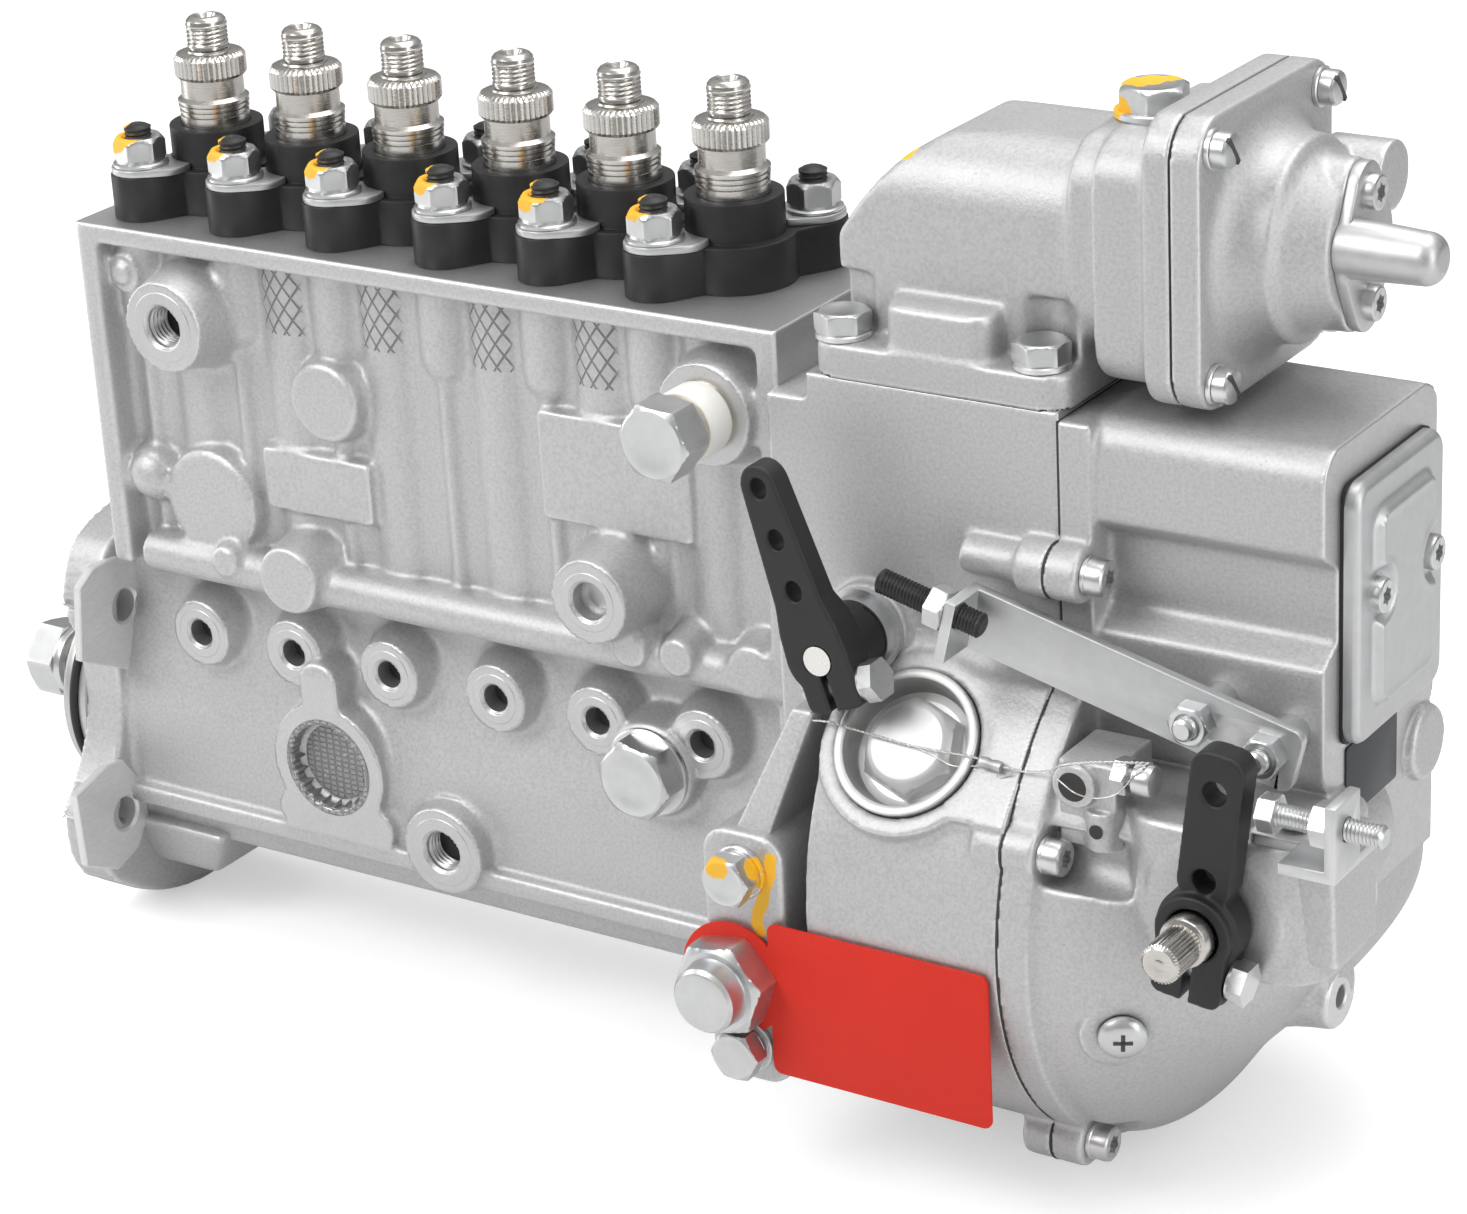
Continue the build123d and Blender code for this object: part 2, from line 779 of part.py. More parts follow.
export_step(valve_holders.part, "parts/valve_holders.step")

with BuildPart() as element_studs:
    for x, y in stud_points:
        with BuildSketch(Plane.XZ.offset(-y)):
            with BuildLine():
                Polyline((x, column_bottom_z + 2), (x + stud_r - running, column_bottom_z + 2),
                         (x + stud_r - running, nut_top_z + stud_proud - 1.5), (x + 2, nut_top_z + stud_proud),
                         (x, nut_top_z + stud_proud), close=True)
            make_face()
        revolve(axis=Axis((x, y, 0), (0, 0, 1)))
element_studs.part.label = "element_studs"
export_step(element_studs.part, "parts/element_studs.step")

with BuildPart() as clamp_plates:
    for x in element_x:
        for s in (-1, 1):
            with BuildSketch(Plane.XY.offset(sleeve_top_z)):
                with Locations((x + s * stud_dx, s * stud_dy)):
                    Circle(ear_r - 0.4)
                with Locations((x + s * stud_dx * 0.62, s * stud_dy * 0.82)):
                    Circle(ear_r - 0.4)
                make_hull()
                with Locations((x, 0)):
                    Circle(collar_r + 0.1, mode=Mode.SUBTRACT)
                with Locations((x + s * stud_dx, s * stud_dy)):
                    Circle(stud_r + 0.2, mode=Mode.SUBTRACT)
            extrude(amount=plate_t)
clamp_plates.part.label = "clamp_plates"
export_step(clamp_plates.part, "parts/clamp_plates.step")

with BuildPart() as element_nuts:
    with BuildSketch(Plane.XY.offset(plate_top_z)):
        with Locations(*stud_points):
            Circle(washer_r)
    extrude(amount=washer_t)
    with BuildSketch(Plane.XY.offset(nut_base_z)):
        with Locations(*stud_points):
            RegularPolygon(nut_af / 2, 6, major_radius=False, rotation=12)
    extrude(amount=nut_h)
    with BuildSketch(Plane.XY.offset(plate_top_z)):
        with Locations(*stud_points):
            Circle(stud_r)
    extrude(amount=washer_t + nut_h, mode=Mode.SUBTRACT)
element_nuts.part.label = "element_nuts"
export_step(element_nuts.part, "parts/element_nuts.step")

# ---------------------------------------------------------------- rack and control sleeves
with BuildPart() as control_rack:
    with BuildSketch(end(body_start_x + 4 + rack_travel + 1)):
        with Locations((rack_mid_y - 1, rack_bottom_z + rack_h / 2)):
            Rectangle(rack_t, rack_h)
    extrude(amount=body_len + 2)
    with BuildSketch(Plane.XY.offset(rack_bottom_z)):
        with Locations(*[(x, rack_mid_y + 1) for x in element_x]):
            Rectangle(2 * (finger_r + finger_play), 2 * (finger_r + 0.8) + 1)
    extrude(amount=rack_h, mode=Mode.SUBTRACT)
control_rack.part.label = "control_rack"
export_step(control_rack.part, "parts/control_rack.step")

for number, x in enumerate(element_x, start=1):
    with BuildPart() as control_sleeve:
        with BuildSketch(Plane.XY.offset(sleeve_bottom_z)):
            with Locations((x, 0)):
                Circle(sleeve_r)
        extrude(amount=sleeve_stop_z - sleeve_bottom_z)
        with BuildSketch(Plane.XY.offset(arm_bottom_z)):
            with Locations((x, -arm_reach / 2)):
                Rectangle(arm_w, arm_reach)
            with Locations((x, -arm_reach)):
                Circle(arm_w / 2)
        extrude(amount=arm_t)
        with BuildSketch(Plane.XY.offset(rack_bottom_z + 1)):
            with Locations((x, -arm_reach)):
                Circle(finger_r)
        extrude(amount=arm_bottom_z - rack_bottom_z - 1)
        with BuildSketch(Plane.XY.offset(sleeve_bottom_z)):
            with Locations((x, 0)):
                Circle(plunger_r + running)
        extrude(amount=sleeve_stop_z - sleeve_bottom_z, mode=Mode.SUBTRACT)
    control_sleeve.part.label = f"control_sleeve_{number}"
    export_step(control_sleeve.part, f"parts/control_sleeve_{number}.step")

# ---------------------------------------------------------------- shared shapes


def hex_bolt(place, af, head_h, washer, washer_h, shank, shank_len):
    """Hexagon bolt with a washer face standing on the plane place."""
    with BuildPart() as bolt:
        with BuildSketch(place):
            Circle(washer)
        extrude(amount=washer_h)
        with BuildSketch(place.offset(washer_h)):
            RegularPolygon(af / 2, 6, major_radius=False)
        extrude(amount=head_h)
        with BuildSketch(place):
            Circle(shank)
        extrude(amount=-shank_len)
    return bolt.part


def round_screw(place, head_r, head_h, shank, shank_len):
    """Screw with a cylindrical head standing on the plane place."""
    with BuildPart() as screw:
        with BuildSketch(place):
            Circle(head_r)
        extrude(amount=head_h)
        with BuildSketch(place):
            Circle(shank)
        extrude(amount=-shank_len)
    return screw.part


def spot(plane, x, y):
    """The plane moved so that its origin lies at local x, y."""
    return Plane(origin=plane.from_local_coords((x, y, 0)), x_dir=plane.x_dir, z_dir=plane.z_dir)


def tilted(x, y, z, tilt):
    """Plane at -y facing the lever side, turned clockwise by tilt about its origin."""
    return Plane(origin=(x, -y, z), x_dir=Vector(1, 0, 0).rotate(Axis.Y, tilt), z_dir=(0, -1, 0))


def bell_section(top_z):
    """Outline shared by the governor housing and its cover rim, local x and y along +Y and +Z."""
    with BuildSketch() as section:
        with Locations((0, bell_z)):
            Circle(bell_r)
        with Locations(((gov_back_y - gov_front_y) / 2, (bell_z + top_z) / 2)):
            Rectangle(gov_back_y + gov_front_y, top_z - bell_z)
        fillet([v for v in section.vertices() if bell_z + 1 < v.Y < top_z - 1], gov_fillet_r)
    return section.sketch


# ---------------------------------------------------------------- plugs of the pump housing
vent_place = spot(front(outlet_face_y), outlet_x, outlet_z)
with BuildPart() as vent_washers:
    for offset in (0.0, vent_washer_t + spacer_len):
        with BuildSketch(vent_place.offset(offset)):
            Circle(spacer_r - 0.5)
            Circle(inlet_bore_r, mode=Mode.SUBTRACT)
        extrude(amount=vent_washer_t)
vent_washers.part.label = "vent_washers"
export_step(vent_washers.part, "parts/vent_washers.step")

with BuildPart() as vent_spacer:
    with BuildSketch(vent_place.offset(vent_washer_t)):
        Circle(spacer_r)
        Circle(inlet_bore_r, mode=Mode.SUBTRACT)
    extrude(amount=spacer_len)
vent_spacer.part.label = "vent_spacer"
export_step(vent_spacer.part, "parts/vent_spacer.step")

with BuildPart() as vent_bolt:
    with BuildSketch(vent_place.offset(2 * vent_washer_t + spacer_len)):
        RegularPolygon(vent_af / 2, 6, major_radius=False, rotation=15)
    extrude(amount=vent_head_h)
    with BuildSketch(vent_place.offset(2 * vent_washer_t + spacer_len)):
        Circle(inlet_bore_r - running)
    extrude(amount=-2 * vent_washer_t - spacer_len - inlet_depth + 2)
vent_bolt.part.label = "vent_bolt"
export_step(vent_bolt.part, "parts/vent_bolt.step")

with BuildPart() as side_plug:
    side_plug_place = spot(front(side_plug_face_y), side_plug_x, side_plug_z)
    add(hex_bolt(side_plug_place, side_plug_af, side_plug_head_h, side_plug_boss_r - 0.6, vent_washer_t,
                 inlet_bore_r - running, side_plug_depth - 1))
side_plug.part.label = "side_plug"
export_step(side_plug.part, "parts/side_plug.step")

# ---------------------------------------------------------------- governor housing
rim_screw_points = [(side * y + (gov_back_y - gov_front_y) / 2 * (abs(z) > 100), z)
                    for side in (-1, 1) for y, z in rim_lugs]
base_bolt_points = [(x, y) for x in (boost_base_x0 + base_bolt_inset, boost_base_x1 - base_bolt_inset - 3)
                    for y in (-boost_base_y0 + m8_washer_r, boost_base_y1 - m8_washer_r)]
lug_bolt_z = (lug_z + 1.5 - lug_bolt_pitch / 2, lug_z + 1.5 + lug_bolt_pitch / 2)
plug_plane = Plane(origin=(plug_x, -plug_y, plug_z), x_dir=(1, 0, 0),
                   z_dir=Vector(0, -1, 0).rotate(Axis.X, -plug_tilt))
with BuildPart() as governor_housing:
    # neck and drum
    with BuildSketch(end(body_end_x)):
        with Locations(((gov_back_y - gov_front_y) / 2, (gov_shoulder_z + crank_floor_z) / 2)):
            Rectangle(gov_back_y + gov_front_y, gov_shoulder_z - crank_floor_z)
    extrude(amount=drum_x - body_end_x)
    with BuildSketch(end(drum_x)):
        add(bell_section(gov_shoulder_z))
    extrude(amount=gov_seam_x - drum_x)
    # machined top pad
    with BuildSketch(Plane.XY.offset(gov_shoulder_z - 1)):
        with Locations(((pad_start_x + gov_seam_x) / 2, (gov_back_y - gov_front_y) / 2)):
            Rectangle(gov_seam_x - pad_start_x, gov_back_y + gov_front_y)
    extrude(amount=gov_top_z - gov_shoulder_z + 1)
    # slanted block and round boss of the timing plug
    with BuildSketch(plug_plane):
        Circle(plug_boss_r)
        with Locations(((gov_seam_x - plug_x) / 2, (block_high - block_low) / 2)):
            Rectangle(gov_seam_x - plug_x, block_high + block_low)
    extrude(amount=-block_depth)
    # half-round rib ahead of the upper rim screw
    with BuildSketch(end(boss_rib_x)):
        with Locations((-rim_lugs[0][0] - 2, rim_lugs[0][1])):
            Circle(boss_rib_r)
    extrude(amount=gov_seam_x - boss_rib_x)
    # rim lugs
    with BuildSketch(end(gov_seam_x - rim_t)):
        with Locations(*rim_screw_points):
            Circle(rim_lug_r)
    extrude(amount=rim_t)
    # lug with two bolts and the large plug
    with BuildSketch(front(lug_face_y)):
        with Locations((lug_x, lug_z + 1.5)):
            RectangleRounded(lug_w, lug_h, 8.0)
    extrude(amount=-lug_face_y + gov_front_y - 2)
    # shaft bosses of the stop lever
    with BuildSketch(front(stop_boss_y)):
        with Locations((stop_x, stop_z)):
            Circle(stop_boss_r)
    extrude(amount=-stop_boss_y + gov_front_y - 1)
    # flyweight chamber, upper chamber, shaft and rack openings
    with BuildSketch(end(body_end_x + gov_wall)):
        with Locations((0, cavity_z)):
            Circle(gov_neck_cavity_r)
        with Locations(((rack_window_y0 + rack_window_y1) / 2, (cavity_z + gov_shoulder_z - gov_wall) / 2)):
            Rectangle(-2 * rack_window_y0 - gov_wall, gov_shoulder_z - gov_wall - cavity_z)
    extrude(amount=gov_seam_x - body_end_x - gov_wall, mode=Mode.SUBTRACT)
    with BuildSketch(end(drum_x + gov_wall)):
        with Locations((0, cavity_z)):
            Circle(gov_cavity_r)
    extrude(amount=gov_seam_x - drum_x - gov_wall, mode=Mode.SUBTRACT)
    # relief round the hub of the stop lever
    with BuildSketch(front(stop_boss_y)):
        with Locations((stop_x, stop_z)):
            Circle(stop_hub_r + 2)
    extrude(amount=plug_y, mode=Mode.SUBTRACT)
    with BuildSketch(end(body_end_x)):
        Circle(journal_r + 2)
        with Locations(((rack_window_y0 + rack_window_y1) / 2, (rack_window_z0 + rack_window_z1) / 2)):
            Rectangle(rack_window_y1 - rack_window_y0, rack_window_z1 - rack_window_z0)
    extrude(amount=gov_wall, mode=Mode.SUBTRACT)
    # bores for plugs, bolts and the stop shaft
    with BuildSketch(plug_plane):
        Circle(plug_boss_r - plug_step)
    extrude(amount=plug_boss_r, mode=Mode.SUBTRACT)
    with BuildSketch(plug_plane):
        Circle(plug_cup_r + running)
    extrude(amount=-plug_cup_depth, mode=Mode.SUBTRACT)
    for x, z, y, r, depth in [(big_plug_x, big_plug_z, lug_face_y, big_plug_shank_r + running, m8_shank_len + 1),
                              (lug_x, lug_bolt_z[0], lug_face_y, m8_shank_r + running, m8_shank_len + 1),
                              (lug_x, lug_bolt_z[1], lug_face_y, m8_shank_r + running, m8_shank_len + 1),
                              (stop_x, stop_z, stop_boss_y, stop_shaft_r + running, stop_boss_y - stop_shaft_in_y)]:
        with BuildSketch(front(y)):
            with Locations((x, z)):
                Circle(r)
        extrude(amount=-depth, mode=Mode.SUBTRACT)
    with BuildSketch(end(gov_seam_x)):
        with Locations(*rim_screw_points):
            Circle(m6_shank_r + running)
    extrude(amount=-m6_shank_len, mode=Mode.SUBTRACT)
    with BuildSketch(Plane.XY.offset(gov_top_z)):
        with Locations(*base_bolt_points):
            Circle(m8_shank_r + running)
    extrude(amount=-base_bolt_depth - 1, mode=Mode.SUBTRACT)
governor_housing.part.label = "governor_housing"
export_step(governor_housing.part, "parts/governor_housing.step")

with BuildPart() as timing_plug:
    plug_place = plug_plane.offset(-plug_cup_depth)
    with BuildSketch(plug_place):
        Circle(plug_cup_r)
    extrude(amount=plug_cup_depth + plug_cup_proud)
    with BuildSketch(plug_place.offset(plug_floor_t)):
        Circle(plug_cup_in_r)
        RegularPolygon(plug_hex_af / 2, 6, major_radius=False, rotation=15, mode=Mode.SUBTRACT)
    extrude(amount=plug_cup_depth + plug_cup_proud - plug_floor_t, mode=Mode.SUBTRACT)
timing_plug.part.label = "timing_plug"
export_step(timing_plug.part, "parts/timing_plug.step")

with BuildPart() as lug_bolts:
    for z in lug_bolt_z:
        add(hex_bolt(spot(front(lug_face_y), lug_x, z), m8_af, m8_head_h, m8_washer_r, lug_washer_t,
                     m8_shank_r, m8_shank_len))
lug_bolts.part.label = "lug_bolts"
export_step(lug_bolts.part, "parts/lug_bolts.step")

big_plug_place = spot(front(lug_face_y), big_plug_x, big_plug_z)
with BuildPart() as tag_washer:
    with BuildSketch(big_plug_place):
        Circle(big_plug_af / 2)
        Circle(big_plug_shank_r + running, mode=Mode.SUBTRACT)
    extrude(amount=tag_t)
tag_washer.part.label = "tag_washer"
export_step(tag_washer.part, "parts/tag_washer.step")

with BuildPart() as red_tag:
    with BuildSketch(front(lug_face_y + tag_t)):
        with Locations((big_plug_x, big_plug_z)):
            Circle(tag_ring_r)
        with Locations(((tag_x0 + tag_x1) / 2, (tag_z0 + tag_z1) / 2)):
            RectangleRounded(tag_x1 - tag_x0, tag_z1 - tag_z0, 2.5)
        with Locations((big_plug_x, big_plug_z)):
            Circle(big_plug_shank_r + running, mode=Mode.SUBTRACT)
        with Locations((lug_x, lug_bolt_z[0]), (lug_x, lug_bolt_z[1])):
            Circle(m8_washer_r + 0.6, mode=Mode.SUBTRACT)
    extrude(amount=tag_t)
red_tag.part.label = "red_tag"
export_step(red_tag.part, "parts/red_tag.step")

with BuildPart() as big_plug:
    with BuildSketch(big_plug_place.offset(2 * tag_t)):
        RegularPolygon(big_plug_af / 2, 6, major_radius=False, rotation=10)
    extrude(amount=big_plug_head_h)
    with BuildSketch(big_plug_place.offset(2 * tag_t + big_plug_head_h)):
        Circle(big_plug_end_r)
    extrude(amount=big_plug_end_len)
    with BuildSketch(big_plug_place.offset(2 * tag_t)):
        Circle(big_plug_shank_r)
    extrude(amount=-2 * tag_t - m8_shank_len)
big_plug.part.label = "big_plug"
export_step(big_plug.part, "parts/big_plug.step")

with BuildPart() as flyweights:
    with BuildSketch(end(cam_end_x)):
        Circle(hub_r)
    extrude(amount=weight_x1 - cam_end_x)
    with BuildSketch(end(weight_x0)):
        Circle(weight_r1)
        Circle(weight_r0 + 4, mode=Mode.SUBTRACT)
        Rectangle(2 * weight_r1, 1.1 * weight_r0, mode=Mode.SUBTRACT)
        Rectangle(0.8 * weight_r0, 1.8 * weight_r1)
    extrude(amount=weight_x1 - weight_x0)
flyweights.part.label = "flyweights"
export_step(flyweights.part, "parts/flyweights.step")

# ---------------------------------------------------------------- governor cover
cover_rim_x = gov_seam_x + rim_t
end_screw_points = [(end_cover_y + side * end_screw_pitch / 2, end_cover_z + 4) for side in (-1, 1)]
dome_plug_plane = Plane(origin=dome_plug_at, z_dir=(0.5, -0.85, -0.15))
with BuildPart() as governor_cover:
    with BuildSketch(Plane.XZ):
        with BuildLine():
            Polyline((cover_rim_x - 1, bell_z), (cover_rim_x - 1, bell_z + belly_r), (cover_rim_x + 9, bell_z + belly_r))
            ThreePointArc((cover_rim_x + 9, bell_z + belly_r), (400, bell_z + 53), (belly_end_x, bell_z + 8))
            Polyline((belly_end_x, bell_z + 8), (belly_end_x, bell_z), (cover_rim_x - 1, bell_z))
        make_face()
    revolve(axis=Axis((0, 0, bell_z), (1, 0, 0)))
    with BuildSketch(front(2 * belly_r)):
        with Locations(((cover_rim_x + belly_end_x) / 2 + 10, shelf_z + belly_r)):
            Rectangle(belly_end_x - cover_rim_x + 20, 2 * belly_r)
    extrude(amount=-4 * belly_r, mode=Mode.SUBTRACT)
    # spring chamber
    with BuildSketch(end(cover_rim_x - 1)):
        with Locations(((box_back_y - box_front_y) / 2, (shelf_z - 1 + box_top_z) / 2)):
            RectangleRounded(box_back_y + box_front_y, box_top_z - shelf_z + 1, box_edge_r)
    extrude(amount=box_end_x - cover_rim_x + 1)
    with BuildSketch(end(cover_rim_x)):
        with BuildLine():
            Polyline((-box_front_y - 1, groove_low_z - 6), (-box_front_y + groove_depth, groove_low_z),
                     (-box_front_y + groove_depth, groove_high_z), (-box_front_y - 1, groove_high_z + 6), close=True)
        make_face()
    extrude(amount=box_end_x - cover_rim_x, mode=Mode.SUBTRACT)
    # pockets for the heads of the rim screws
    with BuildSketch(end(cover_rim_x)):
        with Locations(*rim_screw_points):
            Circle(m6_head_r + 2.5)
    extrude(amount=rim_pocket, mode=Mode.SUBTRACT)
    # rim against the housing
    with BuildSketch(end(gov_seam_x)):
        add(bell_section(gov_shoulder_z + 5))
        with Locations(*rim_screw_points):
            Circle(rim_lug_r)
    extrude(amount=rim_t)
    # lever shaft block and its round boss
    with BuildSketch(Plane.XY.offset(boss_block_z0)):
        with Locations(((boss_block_x0 + boss_block_x1) / 2, -(lever_boss_y + boss_block_y) / 2)):
            RectangleRounded(boss_block_x1 - boss_block_x0, lever_boss_y - boss_block_y, boss_block_r)
        with Locations(((boss_block_x0 + box_end_x) / 2, (box_back_y - boss_block_y - boss_block_r) / 2)):
            Rectangle(box_end_x - boss_block_x0, box_back_y + boss_block_y + boss_block_r)
    extrude(amount=shelf_z - boss_block_z0)
    with BuildSketch(front(lever_boss_y + 1)):
        with Locations((control_x, control_z)):
            Circle(lever_boss_r)
    extrude(amount=-lever_boss_y)
    # boss of the slotted plug
    with BuildSketch(dome_plug_plane):
        Circle(dome_plug_r + 3)
    extrude(amount=-dome_plug_shank - 4)
    # end bosses and the rear ear
    for y, z, x, r in [*end_bosses, rear_ear]:
        with BuildSketch(end(x)):
            with Locations((y, z)):
                Circle(r)
        extrude(amount=-45)
    with BuildSketch(end(box_end_x)):
        with Locations((end_cover_y, end_cover_z)):
            RectangleRounded(end_window_w, end_window_h, 6.0)
    extrude(amount=-end_window_depth, mode=Mode.SUBTRACT)
    with BuildSketch(end(box_end_x)):
        with Locations(*end_screw_points):
            Circle(m5_shank_r + running)
    extrude(amount=-m5_shank_len, mode=Mode.SUBTRACT)
    for y, z, x, r in end_bosses:
        with BuildSketch(end(x)):
            with Locations((y, z)):
                Circle(end_boss_hole_r)
        extrude(amount=-8, mode=Mode.SUBTRACT)
    with BuildSketch(end(cover_rim_x)):
        with Locations(*rim_screw_points):
            Circle(m6_shank_r + 0.3)
    extrude(amount=-rim_t, mode=Mode.SUBTRACT)
    with BuildSketch(front(lever_boss_y + 1)):
        with Locations((control_x, control_z)):
            Circle(control_shaft_r + running)
    extrude(amount=-control_shaft_in, mode=Mode.SUBTRACT)
    with BuildSketch(dome_plug_plane):
        Circle(m6_head_r + running)
    extrude(amount=-dome_plug_shank, mode=Mode.SUBTRACT)
    with BuildSketch(dome_plug_plane):
        Circle(dome_plug_r + 1)
    extrude(amount=dome_plug_h + 2, mode=Mode.SUBTRACT)
governor_cover.part.label = "governor_cover"
export_step(governor_cover.part, "parts/governor_cover.step")

with BuildPart() as dome_plug:
    with BuildSketch(dome_plug_plane):
        Circle(dome_plug_r)
    extrude(amount=dome_plug_h)
    with BuildSketch(dome_plug_plane):
        Circle(m6_head_r)
    extrude(amount=-dome_plug_shank + 0.5)
    with BuildSketch(dome_plug_plane.offset(dome_plug_h)):
        Rectangle(2 * dome_plug_r, dome_plug_slot)
    extrude(amount=-dome_plug_h / 2, mode=Mode.SUBTRACT)
dome_plug.part.label = "dome_plug"
export_step(dome_plug.part, "parts/dome_plug.step")

with BuildPart() as rim_screws:
    for y, z in rim_screw_points:
        add(round_screw(spot(end(cover_rim_x), y, z), m6_head_r, m6_head_h, m6_shank_r, rim_t + m6_shank_len - 1))
rim_screws.part.label = "rim_screws"
export_step(rim_screws.part, "parts/rim_screws.step")

# ---------------------------------------------------------------- end cover of the spring chamber
with BuildPart() as end_gasket:
    with BuildSketch(end(box_end_x)):
        with Locations((end_cover_y, end_cover_z)):
            RectangleRounded(end_cover_w, end_cover_h, 4.0)
            RectangleRounded(end_window_w, end_window_h, 6.0, mode=Mode.SUBTRACT)
        with Locations(*end_screw_points):
            Circle(m5_shank_r + running, mode=Mode.SUBTRACT)
    extrude(amount=gasket_t)
end_gasket.part.label = "end_gasket"
export_step(end_gasket.part, "parts/end_gasket.step")

with BuildPart() as end_cover:
    with BuildSketch(end(box_end_x + gasket_t)):
        with Locations((end_cover_y, end_cover_z)):
            RectangleRounded(end_cover_w, end_cover_h, 6.0)
    extrude(amount=end_cover_t)
    fillet(end_cover.faces().sort_by(Axis.X)[-1].edges(), end_cover_t * 0.6)
    with BuildSketch(end(box_end_x + gasket_t + end_cover_t)):
        with Locations((end_cover_y, end_cover_z)):
            RectangleRounded(end_cover_w - 18, end_cover_h - 22, 4.0)
            with Locations((-end_screw_pitch / 2, 4), (end_screw_pitch / 2, 4)):
                Circle(m5_head_r + 1.6, mode=Mode.SUBTRACT)
    extrude(amount=end_cover_rise)
    with BuildSketch(end(box_end_x + gasket_t)):
        with Locations(*end_screw_points):
            Circle(m5_shank_r + running)
    extrude(amount=end_cover_t, mode=Mode.SUBTRACT)
end_cover.part.label = "end_cover"
export_step(end_cover.part, "parts/end_cover.step")

with BuildPart() as data_plate:
    with BuildSketch(end(box_end_x)):
        with Locations((plate_label_y, plate_label_z)):
            RectangleRounded(plate_label_w, plate_label_h, 1.0)
    extrude(amount=0.5)
data_plate.part.label = "data_plate"
export_step(data_plate.part, "parts/data_plate.step")

# ---------------------------------------------------------------- control lever
control_back_y = lever_boss_y + 2
control_front_y = control_back_y + lever_t
control_place = tilted(control_x, control_back_y, control_z, control_tilt)
with BuildPart() as control_shaft:
    with BuildSketch(spot(front(control_end_y), control_x, control_z)):
        Circle(control_shaft_r)
    extrude(amount=lever_boss_y + 2 - control_shaft_in - control_end_y)
    chamfer(control_shaft.faces().sort_by(Axis.Y)[0].edges(), 1.0)
control_shaft.part.label = "control_shaft"
export_step(control_shaft.part, "parts/control_shaft.step")

with BuildPart() as control_lever:
    with BuildSketch(control_place):
        with Locations((0, (control_tip_r + 8) / 2)):
            RectangleRounded(control_arm_w, control_tip_r - 8, 5.0)
        Circle(control_hub_r)
        with Locations((0, -clamp_len / 2)):
            RectangleRounded(clamp_w, clamp_len, 3.0)
    extrude(amount=lever_t)
    with BuildSketch(control_place.offset(lever_t)):
        Circle(control_hub_r - 1)
        with Locations((0, -clamp_len / 2)):
            RectangleRounded(clamp_w - 1, clamp_len, 3.0)
    extrude(amount=clamp_step)
    with BuildSketch(control_place):
        Circle(control_shaft_r + running)
        with Locations((0, control_hole_1), (0, control_hole_2)):
            Circle(lever_hole_r)
        with Locations((0, -clamp_len / 2)):
            Rectangle(clamp_slot, clamp_len)
    extrude(amount=lever_t + clamp_step, mode=Mode.SUBTRACT)
    with BuildSketch(Plane(control_place.offset((lever_t + clamp_step) / 2).from_local_coords((0, -clamp_bolt, 0)),
                           x_dir=(0, -1, 0), z_dir=control_place.x_dir)):
        Circle(clamp_bolt_r)
    extrude(amount=clamp_w, both=True, mode=Mode.SUBTRACT)
control_lever.part.label = "control_lever"
export_step(control_lever.part, "parts/control_lever.step")

with BuildPart() as control_clamp_bolt:
    clamp_place = Plane(control_place.offset((lever_t + clamp_step) / 2).from_local_coords((clamp_w / 2, -clamp_bolt, 0)),
                        x_dir=(0, -1, 0), z_dir=control_place.x_dir)
    add(hex_bolt(clamp_place, m6_af, m6_clamp_head_h, m6_af / 2, 0.8, clamp_bolt_r - running, clamp_w + 2))
control_clamp_bolt.part.label = "control_clamp_bolt"
export_step(control_clamp_bolt.part, "parts/control_clamp_bolt.step")

# ---------------------------------------------------------------- stop lever
stop_back_y = stop_front_y - stop_arm_t
stop_place = tilted(stop_x, stop_hub_back_y, stop_z, stop_tilt)
stop_clamp_place = Plane(stop_place.offset(stop_front_y - stop_hub_back_y - stop_arm_t / 2)
                         .from_local_coords((stop_clamp_w - stop_clamp_left, -stop_clamp_drop, 0)),
                         x_dir=(0, -1, 0), z_dir=stop_place.x_dir)
with BuildPart() as stop_shaft:
    with BuildSketch(spot(front(stop_front_y), stop_x, stop_z)):
        Circle(stop_shaft_r)
    extrude(amount=stop_shaft_in_y + 0.5 - stop_front_y)
stop_shaft.part.label = "stop_shaft"
export_step(stop_shaft.part, "parts/stop_shaft.step")

with BuildPart() as stop_washers:
    with BuildSketch(spot(front(stop_boss_y), stop_x, stop_z)):
        Circle(stop_boss_r - 0.5)
        Circle(stop_shaft_r + running, mode=Mode.SUBTRACT)
    extrude(amount=2.0)
    with BuildSketch(spot(front(stop_boss_y + 2), stop_x, stop_z)):
        Circle(stop_boss_r - 2)
        Circle(stop_shaft_r + running, mode=Mode.SUBTRACT)
    extrude(amount=stop_hub_back_y - stop_boss_y - 2.3)
stop_washers.part.label = "stop_washers"
export_step(stop_washers.part, "parts/stop_washers.step")

with BuildPart() as stop_lever:
    with BuildSketch(stop_place):
        Circle(stop_hub_r)
    extrude(amount=stop_front_y - stop_hub_back_y)
    with BuildSketch(stop_place.offset(stop_back_y - stop_hub_back_y)):
        Circle(stop_hub_r)
        with Locations((0, stop_arm_len)):
            Circle(stop_tip_r)
        make_hull()
        with Locations((stop_clamp_w / 2 - stop_clamp_left, -stop_clamp_len / 2)):
            RectangleRounded(stop_clamp_w, stop_clamp_len, 2.5)
    extrude(amount=stop_arm_t)
    with BuildSketch(stop_place):
        Circle(stop_shaft_r + running)
        with Locations(*[(0, stop_arm_len - i * stop_hole_pitch) for i in range(3)]):
            Circle(stop_hole_r)
        with Locations((0, -stop_clamp_len / 2)):
            Rectangle(clamp_slot, stop_clamp_len)
    extrude(amount=stop_front_y - stop_hub_back_y, mode=Mode.SUBTRACT)
    with BuildSketch(stop_clamp_place):
        Circle(clamp_bolt_r)
    extrude(amount=-stop_clamp_w, mode=Mode.SUBTRACT)
stop_lever.part.label = "stop_lever"
